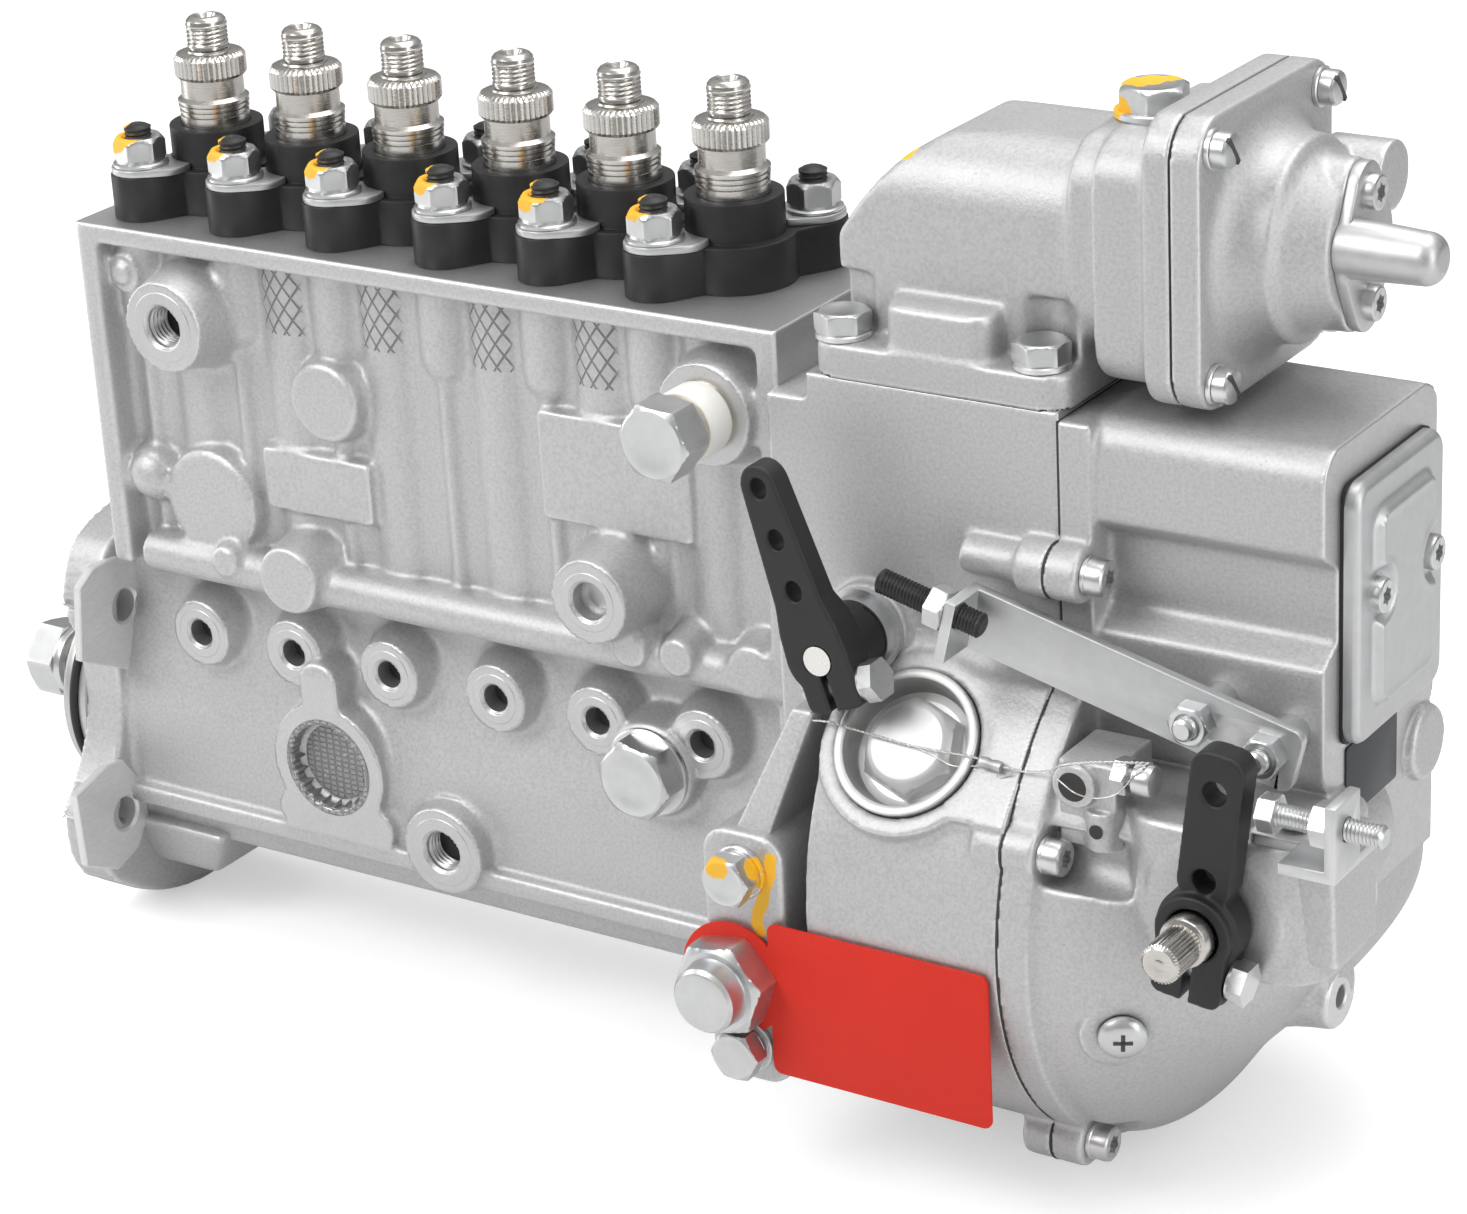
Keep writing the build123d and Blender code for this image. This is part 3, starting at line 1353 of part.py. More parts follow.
export_step(stop_lever.part, "parts/stop_lever.step")

with BuildPart() as stop_clamp_bolt:
    add(hex_bolt(stop_clamp_place, m6_af, m6_clamp_head_h, m6_af / 2, 0.8, clamp_bolt_r - running, stop_clamp_w + 2))
stop_clamp_bolt.part.label = "stop_clamp_bolt"
export_step(stop_clamp_bolt.part, "parts/stop_clamp_bolt.step")

# ---------------------------------------------------------------- long bracket with its stop screw
bracket_place = tilted(bracket_mid_x, bracket_y - bracket_t, bracket_mid_z, bracket_tilt)
bracket_studs_x = [bracket_len / 2 - inset for inset in bracket_stud_insets]
with BuildPart() as long_bracket:
    with BuildSketch(bracket_place):
        RectangleRounded(bracket_len, bracket_w, 3.0)
        with Locations((-bracket_len / 2 + bracket_t / 2, 0)):
            Rectangle(bracket_t, bracket_w)
        with Locations(*[(x, 0) for x in bracket_studs_x]):
            Circle(m6_shank_r + running, mode=Mode.SUBTRACT)
    extrude(amount=bracket_t)
    with BuildSketch(bracket_place):
        with Locations((-bracket_len / 2 + bracket_t / 2, 0)):
            Rectangle(bracket_t, bracket_w)
    extrude(amount=bracket_t + bracket_ear)
    with BuildSketch(Plane(bracket_place.from_local_coords((-bracket_len / 2, set_screw_up, set_screw_out)),
                           x_dir=(0, -1, 0), z_dir=bracket_place.x_dir)):
        Circle(set_screw_r + running)
    extrude(amount=bracket_t, mode=Mode.SUBTRACT)
long_bracket.part.label = "long_bracket"
export_step(long_bracket.part, "parts/long_bracket.step")

with BuildPart() as bracket_studs:
    for x in bracket_studs_x:
        stud_place = spot(bracket_place, x, 0)
        with BuildSketch(stud_place):
            Circle(pillar_r)
        extrude(amount=box_front_y + bracket_t - bracket_y)
        with BuildSketch(stud_place):
            Circle(m6_shank_r)
        extrude(amount=bracket_t + m6_nut_h + 3.0)
bracket_studs.part.label = "bracket_studs"
export_step(bracket_studs.part, "parts/bracket_studs.step")

screw_axis_place = Plane(bracket_place.from_local_coords((-bracket_len / 2, set_screw_up, set_screw_out)),
                         x_dir=(0, -1, 0), z_dir=bracket_place.x_dir)
stop_axis_place = Plane(origin=(angle_ear_x, -stop_screw_y, stop_screw_z), x_dir=(0, 1, 0), z_dir=(1, 0, 0))
with BuildPart() as bracket_nuts:
    for x in bracket_studs_x:
        with BuildSketch(spot(bracket_place.offset(bracket_t), x, 0)):
            RegularPolygon(m6_af / 2, 6, major_radius=False)
            Circle(m6_shank_r + running, mode=Mode.SUBTRACT)
        extrude(amount=m6_nut_h)
    with BuildSketch(screw_axis_place):
        RegularPolygon(m6_af / 2, 6, major_radius=False)
        Circle(set_screw_r + running, mode=Mode.SUBTRACT)
    extrude(amount=-m6_nut_h)
    with BuildSketch(stop_axis_place):
        RegularPolygon(m6_af / 2, 6, major_radius=False)
        Circle(stop_screw_r + running, mode=Mode.SUBTRACT)
    extrude(amount=-m6_nut_h)
bracket_nuts.part.label = "bracket_nuts"
export_step(bracket_nuts.part, "parts/bracket_nuts.step")

with BuildPart() as set_screw:
    with BuildSketch(screw_axis_place.offset(-set_screw_back)):
        Circle(set_screw_r)
    extrude(amount=set_screw_len)
set_screw.part.label = "set_screw"
export_step(set_screw.part, "parts/set_screw.step")

# ---------------------------------------------------------------- idle stop bracket and screw
angle_screw_place = Plane(origin=(angle_screw_x, -angle_screw_y, shelf_z + angle_t), x_dir=(1, 0, 0), z_dir=(0, 0, 1))
with BuildPart() as angle_bracket:
    with BuildSketch(Plane.XY.offset(shelf_z)):
        with Locations(((angle_screw_x - 9 + angle_ear_x + angle_t) / 2, -angle_screw_y)):
            RectangleRounded(angle_ear_x + angle_t - angle_screw_x + 9, 2 * (lever_boss_y - angle_screw_y), 2.5)
        with Locations((angle_ear_x + angle_t - angle_strip_w / 2, -(angle_screw_y + stop_screw_y + 7) / 2)):
            Rectangle(angle_strip_w, stop_screw_y + 7 - angle_screw_y)
        with Locations((angle_screw_x, -angle_screw_y)):
            Circle(m6_shank_r + running, mode=Mode.SUBTRACT)
    extrude(amount=angle_t)
    with BuildSketch(end(angle_ear_x)):
        with Locations((-stop_screw_y, (shelf_z + stop_screw_z + 8) / 2)):
            Rectangle(14.0, stop_screw_z + 8 - shelf_z)
        with Locations((-stop_screw_y, stop_screw_z)):
            Circle(stop_screw_r + running, mode=Mode.SUBTRACT)
    extrude(amount=angle_t)
angle_bracket.part.label = "angle_bracket"
export_step(angle_bracket.part, "parts/angle_bracket.step")

with BuildPart() as angle_screw:
    add(round_screw(angle_screw_place, m6_head_r + 0.8, 1.5, m6_shank_r, angle_t - 0.2))
angle_screw.part.label = "angle_screw"
export_step(angle_screw.part, "parts/angle_screw.step")

with BuildPart() as stop_screw:
    with BuildSketch(stop_axis_place.offset(-stop_screw_head)):
        Circle(stop_screw_r)
    extrude(amount=stop_screw_head + stop_screw_tail)
    with BuildSketch(stop_axis_place.offset(-stop_screw_head)):
        Circle(stop_screw_r + 2)
    extrude(amount=3.0)
stop_screw.part.label = "stop_screw"
export_step(stop_screw.part, "parts/stop_screw.step")

# ---------------------------------------------------------------- boost compensator
case_screw_points = [(a * boost_screw_pitch / 2, boost_axis_z + b * boost_screw_pitch / 2)
                     for a in (-1, 1) for b in (-1, 1)]
cap_screw_points = [(0, boost_axis_z + side * cap_screw_pitch / 2) for side in (-1, 1)]
membrane_x = boost_case_x + boost_flange_t
boost_cover_x = membrane_x + membrane_t
cone_x = boost_cover_x + boost_flange_t
cap_x = cone_x + cone_len
boost_base_z = gov_top_z
boost_floor_z = gov_top_z + boost_base_t
with BuildPart() as boost_body:
    with BuildSketch(Plane.XZ):
        with BuildLine():
            Polyline((boost_body_x0, boost_base_z + 2), (boost_body_x0, boost_shoulder_z),
                     (boost_body_x0 + 6, boost_shoulder_z + 8), (boost_body_x0 + 12, boost_top_z - 12),
                     (boost_body_x0 + 18, boost_top_z - 6), (boost_body_x0 + 26, boost_top_z - 1),
                     (boost_body_x0 + 41, boost_top_z), (boost_neck_x, boost_top_z), (boost_neck_x, boost_base_z + 2),
                     close=True)
        make_face()
    extrude(amount=boost_body_half_y, both=True)
    with BuildSketch(end(boost_body_x0)):
        with Locations((0, (boost_base_z + boost_top_z) / 2 - 20)):
            RectangleRounded(2 * boost_body_half_y, boost_top_z - boost_base_z + 40, boost_section_r)
    extrude(amount=boost_neck_x - boost_body_x0, mode=Mode.INTERSECT)
    with BuildSketch(end(boost_body_x0)):
        with Locations((0, (boost_base_z + boost_shoulder_z) / 2)):
            RectangleRounded(2 * boost_body_half_y, boost_shoulder_z - boost_base_z, boost_block_r)
    extrude(amount=boost_block_len)
    # base flange and front bump
    with BuildSketch(Plane.XY.offset(boost_base_z)):
        with Locations(((boost_base_x0 + boost_base_x1) / 2, (boost_base_y1 - boost_base_y0) / 2)):
            RectangleRounded(boost_base_x1 - boost_base_x0, boost_base_y0 + boost_base_y1, 7.0)
    extrude(amount=boost_base_t)
    with BuildSketch(Plane.XY.offset(boost_floor_z)):
        with Locations(((bump_x0 + bump_x1) / 2, 0)):
            RectangleRounded(bump_x1 - bump_x0, 2 * bump_y, 6.0)
    extrude(amount=bump_h)
    # neck and diaphragm case
    with BuildSketch(end(boost_neck_x - 3)):
        with Locations((0, boost_axis_z)):
            RectangleRounded(boost_square - 14, boost_square - 20, 14.0)
    extrude(amount=boost_case_x - boost_neck_x)
    with BuildSketch(end(boost_neck_x + 6)):
        with Locations((0, (boost_plug_z + boost_axis_z - boost_square / 2 + 3) / 2)):
            RectangleRounded(boost_square - 6, boost_plug_z - boost_axis_z + boost_square / 2 - 3, 12.0)
    extrude(amount=boost_case_x - boost_neck_x - 6)
    with BuildSketch(end(boost_case_x)):
        with Locations((0, boost_axis_z)):
            RectangleRounded(boost_square, boost_square, boost_corner_r)
    extrude(amount=boost_flange_t)
    with BuildSketch(Plane.XY.offset(boost_axis_z)):
        with Locations((boost_plug_x, -boost_plug_y)):
            Circle(boost_plug_r)
    extrude(amount=boost_plug_z - boost_axis_z)
    # bolt holes and the plug bore
    with BuildSketch(Plane.XY.offset(boost_base_z)):
        with Locations(*base_bolt_points):
            Circle(m8_shank_r + running)
    extrude(amount=boost_base_t, mode=Mode.SUBTRACT)
    with BuildSketch(Plane.XY.offset(boost_floor_z)):
        with Locations(*base_bolt_points):
            Circle(m8_washer_r + 1)
    extrude(amount=bump_h + 4, mode=Mode.SUBTRACT)
    with BuildSketch(Plane.XY.offset(boost_plug_z)):
        with Locations((boost_plug_x, -boost_plug_y)):
            Circle(m6_head_r + running)
    extrude(amount=-m6_shank_len, mode=Mode.SUBTRACT)
    with BuildSketch(end(membrane_x)):
        with Locations(*case_screw_points):
            Circle(m6_shank_r + running)
    extrude(amount=-boost_flange_t, mode=Mode.SUBTRACT)
boost_body.part.label = "boost_body"
export_step(boost_body.part, "parts/boost_body.step")

with BuildPart() as base_bolts:
    for x, y in base_bolt_points:
        add(hex_bolt(spot(Plane.XY.offset(boost_floor_z), x, y), m8_af, m8_head_h, m8_washer_r, m8_washer_t,
                     m8_shank_r, boost_base_t + base_bolt_depth))
base_bolts.part.label = "base_bolts"
export_step(base_bolts.part, "parts/base_bolts.step")

with BuildPart() as boost_plug:
    add(hex_bolt(spot(Plane.XY.offset(boost_plug_z), boost_plug_x, -boost_plug_y), boost_plug_af, m8_head_h + 1.5,
                 boost_plug_r - 0.5, 1.0, m6_head_r, m6_shank_len - 0.5))
boost_plug.part.label = "boost_plug"
export_step(boost_plug.part, "parts/boost_plug.step")

with BuildPart() as membrane:
    with BuildSketch(end(membrane_x)):
        with Locations((0, boost_axis_z)):
            RectangleRounded(boost_square - 2 * membrane_inset, boost_square - 2 * membrane_inset, boost_corner_r)
        with Locations(*case_screw_points):
            Circle(m6_shank_r + running, mode=Mode.SUBTRACT)
    extrude(amount=membrane_t)
membrane.part.label = "membrane"
export_step(membrane.part, "parts/membrane.step")

with BuildPart() as boost_cover:
    with BuildSketch(end(boost_cover_x)):
        with Locations((0, boost_axis_z)):
            RectangleRounded(boost_square, boost_square, boost_corner_r)
        with Locations(*case_screw_points):
            Circle(m6_shank_r + running, mode=Mode.SUBTRACT)
    extrude(amount=boost_flange_t)
    with BuildSketch(Plane.XZ):
        with BuildLine():
            Polyline((cone_x - 1, boost_axis_z), (cone_x - 1, boost_axis_z + cone_r + 1), (cone_x, boost_axis_z + cone_r + 1))
            ThreePointArc((cone_x, boost_axis_z + cone_r + 1), (cone_x + 4, boost_axis_z + cone_r - 4),
                          (cone_x + 12, boost_axis_z + cone_mid_r))
            Polyline((cone_x + 12, boost_axis_z + cone_mid_r), (cone_x + 14, boost_axis_z + cone_mid_r - 3),
                     (cone_x + cone_len, boost_axis_z + cone_end_r - 3), (cone_x + cone_len, boost_axis_z),
                     (cone_x - 1, boost_axis_z))
        make_face()
    revolve(axis=Axis((0, 0, boost_axis_z), (1, 0, 0)))
    with BuildSketch(end(cone_x + 10)):
        with Locations((0, boost_axis_z)):
            SlotCenterToCenter(cap_screw_pitch, 16.0, rotation=90)
            Circle(cone_end_r - 5)
        make_hull()
    extrude(amount=cone_len - 10)
    with BuildSketch(end(cone_x + 6)):
        with Locations((connector_y, connector_z)):
            Circle(connector_r)
    extrude(amount=connector_x1 - cone_x - 6)
    with BuildSketch(end(cone_x + cone_len)):
        with Locations((0, boost_axis_z)):
            Circle(tube_r + 1)
    extrude(amount=-cone_len - boost_flange_t, mode=Mode.SUBTRACT)
    with BuildSketch(end(cap_x)):
        with Locations(*cap_screw_points):
            Circle(m5_shank_r + running)
    extrude(amount=-m5_shank_len, mode=Mode.SUBTRACT)
boost_cover.part.label = "boost_cover"
export_step(boost_cover.part, "parts/boost_cover.step")

with BuildPart() as case_screws:
    for y, z in case_screw_points:
        add(round_screw(spot(end(cone_x), y, z), m6_head_r, m6_head_h, m6_shank_r, 2 * boost_flange_t))
case_screws.part.label = "case_screws"
export_step(case_screws.part, "parts/case_screws.step")

with BuildPart() as cap_tube:
    with BuildSketch(end(cap_x)):
        with Locations((0, boost_axis_z)):
            SlotCenterToCenter(cap_screw_pitch, 15.0, rotation=90)
            Circle(cone_end_r - 6)
        make_hull()
    extrude(amount=cap_flange_t)
    with BuildSketch(end(cap_x)):
        with Locations((-tube_y, boost_axis_z + 2)):
            Circle(tube_r)
    extrude(amount=tube_len + cap_flange_t)
    fillet(cap_tube.faces().sort_by(Axis.X)[-1].edges(), tube_r * 0.6)
    with BuildSketch(end(cap_x)):
        with Locations(*cap_screw_points):
            Circle(m5_shank_r + running)
    extrude(amount=cap_flange_t, mode=Mode.SUBTRACT)
cap_tube.part.label = "cap_tube"
export_step(cap_tube.part, "parts/cap_tube.step")

with BuildPart() as cover_screws:
    for y, z in cap_screw_points:
        add(round_screw(spot(end(cap_x + cap_flange_t), y, z), m5_head_r, m5_head_h, m5_shank_r, m5_shank_len))
    for y, z in end_screw_points:
        add(round_screw(spot(end(box_end_x + gasket_t + end_cover_t), y, z), m5_head_r, m5_head_h,
                        m5_shank_r, m5_shank_len))
cover_screws.part.label = "cover_screws"
export_step(cover_screws.part, "parts/cover_screws.step")
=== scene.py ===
"""Looks of the in-line diesel injection pump, built round its CAD frame.

Blender works in metres; every length below is in mm and is turned by MM."""
import math

import bmesh
import bpy
import numpy as np
from mathutils import Matrix, Vector


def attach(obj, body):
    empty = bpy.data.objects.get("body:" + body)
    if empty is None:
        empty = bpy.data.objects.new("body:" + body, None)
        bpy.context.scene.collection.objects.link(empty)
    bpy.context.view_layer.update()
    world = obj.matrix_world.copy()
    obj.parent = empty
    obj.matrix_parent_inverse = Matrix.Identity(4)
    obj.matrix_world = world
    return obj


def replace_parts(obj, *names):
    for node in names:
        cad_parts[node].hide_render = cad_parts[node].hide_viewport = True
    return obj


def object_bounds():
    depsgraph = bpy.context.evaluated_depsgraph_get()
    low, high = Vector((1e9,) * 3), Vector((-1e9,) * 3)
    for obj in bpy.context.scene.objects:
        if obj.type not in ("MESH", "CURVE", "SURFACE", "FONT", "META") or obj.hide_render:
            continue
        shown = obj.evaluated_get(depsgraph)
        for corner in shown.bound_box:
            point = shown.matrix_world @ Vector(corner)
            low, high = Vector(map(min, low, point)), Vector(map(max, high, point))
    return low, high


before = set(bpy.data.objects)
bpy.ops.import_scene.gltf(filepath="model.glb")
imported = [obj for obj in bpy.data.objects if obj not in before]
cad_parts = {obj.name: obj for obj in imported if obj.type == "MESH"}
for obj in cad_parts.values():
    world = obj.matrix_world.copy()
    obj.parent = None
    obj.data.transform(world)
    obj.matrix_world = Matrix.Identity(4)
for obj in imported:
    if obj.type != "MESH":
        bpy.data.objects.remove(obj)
cad_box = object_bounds()
MM = 0.001
IN_MM = 1000.0
FRONT, BACK, UP = (0, -1, 0), (0, 1, 0), (0, 0, 1)
END, DRIVE = (1, 0, 0), (-1, 0, 0)
ELEMENTS = (47.5, 82.5, 117.5, 155.5, 190.5, 225.5)
STUD_DX, STUD_DY = 12.3, 20.1


# --- shader maths
class Field:
    """A value over a surface. Arithmetic on it adds the Math nodes."""

    def __init__(self, nodes, socket):
        self.nodes = nodes
        self.socket = socket

    def math(self, operation, *values):
        return self.nodes.node("ShaderNodeMath", {"operation": operation}, values)

    def __add__(self, other):
        return self.math("ADD", self, other)

    __radd__ = __add__

    def __sub__(self, other):
        return self.math("SUBTRACT", self, other)

    def __rsub__(self, other):
        return self.math("SUBTRACT", other, self)

    def __mul__(self, other):
        return self.math("MULTIPLY", self, other)

    __rmul__ = __mul__

    def most(self, other):
        return self.math("MAXIMUM", self, other)

    def size(self):
        return self.math("ABSOLUTE", self)

    def part(self):
        """What is left over after the whole number."""
        return self.math("FRACT", self)

    def step(self, low, high, at_low=0.0, at_high=1.0):
        """From one value at low to the other at high, smooth between."""
        return self.nodes.node("ShaderNodeMapRange", {"interpolation_type": "SMOOTHSTEP"},
                               (self, low, high, at_low, at_high))


class Nodes:
    """The nodes of a material or of the world."""

    def __init__(self, owner):
        owner.use_nodes = True
        self.tree = owner.node_tree
        self.tree.nodes.clear()

    def node(self, kind, settings, inputs, output=0):
        """One new node: its settings by name, its inputs by name or in order. Gives that output."""
        node = self.tree.nodes.new(kind)
        for key, value in settings.items():
            setattr(node, key, value)
        for key, value in inputs.items() if isinstance(inputs, dict) else enumerate(inputs):
            self.feed(node.inputs[key], value)
        return Field(self, node.outputs[output]) if node.outputs else node

    def feed(self, socket, value):
        """Links a field to an input, or sets the input's constant."""
        if isinstance(value, Field):
            self.tree.links.new(value.socket, socket)
        elif isinstance(value, tuple) and socket.type == "RGBA":
            socket.default_value = (*value, 1.0)
        else:
            socket.default_value = value


class Finish(Nodes):
    """One material: a principled shader fed by fields."""

    def __init__(self, name):
        self.material = bpy.data.materials.new(name)
        super().__init__(self.material)
        self.shader = self.tree.nodes.new("ShaderNodeBsdfPrincipled")
        self.node("ShaderNodeOutputMaterial", {}, {"Surface": Field(self, self.shader.outputs[0])})
        self.place = self.node("ShaderNodeTexCoord", {}, (), "Object")

    def noise(self, size_mm, detail=2.0, rough=0.5, where=None):
        """Noise of about that feature size, from 0 to 1."""
        return self.node("ShaderNodeTexNoise", {}, {"Vector": where or self.place, "Scale": 1.0 / (size_mm * MM),
                                                    "Detail": detail, "Roughness": rough})

    def cells(self, size_mm):
        """Distance from the middle of the nearest cell."""
        return self.node("ShaderNodeTexVoronoi", {"feature": "F1"},
                         {"Vector": self.place, "Scale": 1.0 / (size_mm * MM)}, "Distance")

    def stretched(self, x, y, z):
        """The place, with its axes scaled: streaks run along the axis with the smallest number."""
        return self.node("ShaderNodeVectorMath", {"operation": "MULTIPLY"}, (self.place, (x, y, z)))

    def axis(self, name):
        return self.node("ShaderNodeSeparateXYZ", {}, (self.place,), name)

    def near(self, x, y, z):
        """Distance in mm from a point given in mm."""
        return IN_MM * self.node("ShaderNodeVectorMath", {"operation": "DISTANCE"},
                                  (self.place, (x * MM, y * MM, z * MM)), "Value")

    def blend(self, mask, first, second):
        return self.node("ShaderNodeMix", {"data_type": "RGBA"}, {0: mask, 6: first, 7: second}, 2)

    # Pointiness mask: paints highlights on edges, with some rubbed wear, and painted shade in hollows when low is
    # above high.
    def painted_light_and_wear_mask(self, low=0.52, high=0.60):
        return self.node("ShaderNodeNewGeometry", {}, (), "Pointiness").step(low, high)

    def bump(self, height, distance_mm, strength=1.0, under=None):
        inputs = {"Strength": strength, "Distance": distance_mm * MM, "Height": height}
        if under:
            inputs["Normal"] = under
        return self.node("ShaderNodeBump", {}, inputs, "Normal")

    def surface(self, colour, rough, metal, normal=None, **constants):
        self.feed(self.shader.inputs["Base Color"], colour)
        self.feed(self.shader.inputs["Roughness"], rough)
        self.feed(self.shader.inputs["Metallic"], metal)
        if normal:
            self.feed(self.shader.inputs["Normal"], normal)
        for name, value in constants.items():
            self.shader.inputs[name.replace("_", " ")].default_value = value
        return self.material


YELLOW = (0.86, 0.47, 0.02)
RAGGED, BRUSH_EDGE, FULL_WOBBLE_R = 1.6, 0.3, 5.0


def paint_mask(finish, blobs):
    """1 inside any blob (x, y, z, radius in mm), with a brushed edge."""
    wobble = (finish.noise(3.0, 3.0) - 0.5) * RAGGED * 2
    mask = None
    for x, y, z, radius in blobs:
        ragged = finish.near(x, y, z) + wobble * min(1.0, radius / FULL_WOBBLE_R)
        inside = ragged.step(radius + BRUSH_EDGE, radius - BRUSH_EDGE)
        mask = inside if mask is None else mask.most(inside)
    return mask


def daubed(finish, paint, colour, rough, metal, dulling):
    """Colour, roughness and metal with the daubs of yellow paint on top."""
    if not paint:
        return colour, rough, metal
    mask = paint_mask(finish, paint)
    return finish.blend(mask, colour, YELLOW), rough + mask * dulling, metal * (1.0 - mask)


def toned(colour, *factors):
    """A colour, or a grey given as one number, times one factor or one for each channel."""
    channels = colour if isinstance(colour, tuple) else (colour,) * 3
    return tuple(min(1.0, c * f) for c, f in zip(channels, factors if len(factors) > 1 else factors * 3))


# --- finishes
HATCH_PADS = ((87.7, 9.0), (124.2, 10.5), (160.7, 9.0), (195.7, 9.0))
HATCH_Z, HATCH_HALF, HATCH_STEP_X, HATCH_STEP_Z = 143.5, 9.5, 4.6, 6.6


def hatched_pads(finish):
    """1 in the grooves of the diamond hatching between the ribs under the deck."""
    x, y, z = (finish.axis(name) * IN_MM for name in "XYZ")
    inside = None
    for middle, half in HATCH_PADS:
        pad = (x - middle).size().step(half + 0.2, half - 0.2)
        inside = pad if inside is None else inside.most(pad)
    inside = inside * (z - HATCH_Z).size().step(HATCH_HALF + 0.2, HATCH_HALF - 0.2) * y.step(-25.5, -26.5)
    lean, rise = x * (1 / HATCH_STEP_X), z * (1 / HATCH_STEP_Z)
    falling, rising = ((way.part() - 0.5).size().step(0.40, 0.47) for way in (lean + rise, lean - rise))
    return inside * falling.most(rising), inside


def cast_aluminium(name, light=0.60, paint=None, hatched=False, knurled=False):
    """Bead-blasted sand casting: fine grain, soft mottling, small pores darkened with painted shade, painted shade in
    the hollows, and edges lightened as a painted highlight that partly stands for rubbing.
    """
    f = Finish(name)
    grain = f.noise(0.55, 3.0, 0.6)
    mottle = f.noise(14.0, 4.0, 0.55)
    smudge = f.noise(38.0, 3.0, 0.5)
    pores = f.cells(5.5).step(0.055, 0.02)
    edges = f.painted_light_and_wear_mask(0.51, 0.55)
    hollows = f.painted_light_and_wear_mask(0.492, 0.455)
    grey = f.blend(mottle, toned(light, 0.90, 0.905, 0.915), toned(light, 1.08, 1.075, 1.07))
    # Painted shade: hollows darkened.
    grey = f.blend(hollows * 0.55, grey, toned(light, 0.55, 0.545, 0.54))
    grey = f.blend(smudge.step(0.55, 0.72) * 0.30, grey, toned(light, 0.80, 0.79, 0.775))
    grey = f.blend(grain.step(0.30, 0.75) * 0.35, toned(light, 0.84, 0.84, 0.85), grey)
    # Painted highlight: convex edges lightened; the lower roughness there stands for rubbing.
    grey = f.blend(edges * 0.65, grey, toned(light, 1.38))
    # Pores darkened with painted shade in the pits; the bump below also dents them.
    grey = f.blend(pores * 0.5, grey, toned(light, 0.45))
    rough = 0.42 + mottle * 0.14 + grain * 0.08 - edges * 0.14
    metal = 0.78 - grain * 0.12
    speckle = f.noise(1.0, 2.0, 0.65)
    grey = f.blend(speckle.step(0.35, 0.68) * 0.30, grey, toned(light, 1.22))
    grey = f.blend(speckle.step(0.50, 0.30) * 0.30, grey, toned(light, 0.74, 0.735, 0.73))
    rough = rough + (speckle - 0.5) * 0.18
    normal = f.bump(grain, 0.12, 0.6)
    normal = f.bump(f.noise(1.6, 3.0, 0.6), 0.22, 0.5, normal)
    normal = f.bump(mottle, 0.6, 0.3, normal)
    normal = f.bump(1.0 - pores, 0.25, 0.5, normal)
    if knurled:
        across, up = f.axis("X") * IN_MM * (1 / 2.6), f.axis("Z") * IN_MM * (1 / 1.7)
        lands = (across.part() - 0.5).size().step(0.46, 0.34) * (up.part() - 0.5).size().step(0.44, 0.30)
        # Painted shade in the knurl grooves; the knurled skin is darker as a whole.
        grey = f.blend(lands * 0.5, toned(light, 0.62, 0.61, 0.60), grey)
        normal = f.bump(lands, 0.5, 0.9, normal)
    if hatched:
        grooves, pads = hatched_pads(f)
        # Painted shade in the hatching grooves; the hatched pads as a whole are also a little darker.
        grey = f.blend(grooves * 0.75, grey, toned(light, 0.22, 0.21, 0.20))
        grey = f.blend(pads * 0.15, grey, toned(light, 0.7, 0.69, 0.66))
        normal = f.bump(1.0 - grooves, 0.6, 0.9, normal)
    return f.surface(*daubed(f, paint, grey, rough, metal, 0.05), normal)


def machined_aluminium(name, light=0.58, metal=0.85):
    """Milled or turned face of a casting: fine tool marks, brighter than the skin."""
    f = Finish(name)
    marks = f.noise(0.5, 2.0, 0.5, f.stretched(1.0, 0.18, 1.0))
    cloud = f.noise(9.0, 3.0)
    grey = f.blend(cloud, toned(light, 0.92, 0.92, 0.93), toned(light, 1.06))
    grey = f.blend(marks.step(0.35, 0.7) * 0.4, grey, toned(light, 0.80, 0.80, 0.81))
    return f.surface(grey, 0.33 + marks * 0.14, metal, f.bump(marks, 0.05, 0.45))


def zinc(name, tint=(0.60, 0.605, 0.61), rough=0.27, paint=None):
    """Bright zinc plate: thin cloudy film, slightly soft reflections, dull hollows."""
    f = Finish(name)
    cloud = f.noise(4.5, 4.0, 0.6)
    film = f.noise(17.0, 3.0)
    fine = f.noise(0.35, 2.0)
    edges = f.painted_light_and_wear_mask()
    colour = f.blend(cloud, toned(tint, 0.88), toned(tint, 1.10))
    colour = f.blend(film.step(0.5, 0.75) * 0.25, colour, toned(tint, 0.95, 0.92, 0.84))
    # Painted highlight: edges lightened towards white and made smoother.
    colour = f.blend(edges * 0.5, colour, (0.86, 0.86, 0.86))
    metal = 1.0 - cloud * 0.06
    gloss = rough + cloud * 0.10 + fine * 0.06 - edges * 0.06
    return f.surface(*daubed(f, paint, colour, gloss, metal, 0.12), f.bump(fine + cloud * 2.0, 0.05, 0.35))


def turned_steel(name, tint=(0.56, 0.54, 0.51), rough=0.20):
    """Bright turned steel with fine rings of tool marks."""
    f = Finish(name)
    rings = f.noise(0.5, 2.0, 0.5, f.stretched(0.12, 0.12, 1.0))
    cloud = f.noise(6.0, 3.0)
    colour = f.blend(rings, toned(tint, 0.80), toned(tint, 1.18))
    colour = f.blend(cloud.step(0.5, 0.8) * 0.3, colour, toned(tint, 0.8, 0.78, 0.72))
    # Painted highlight: edges lightened.
    colour = f.blend(f.painted_light_and_wear_mask() * 0.6, colour, (0.85, 0.84, 0.82))
    return f.surface(colour, rough + rings * 0.12, 1.0, f.bump(rings, 0.05, 0.5))


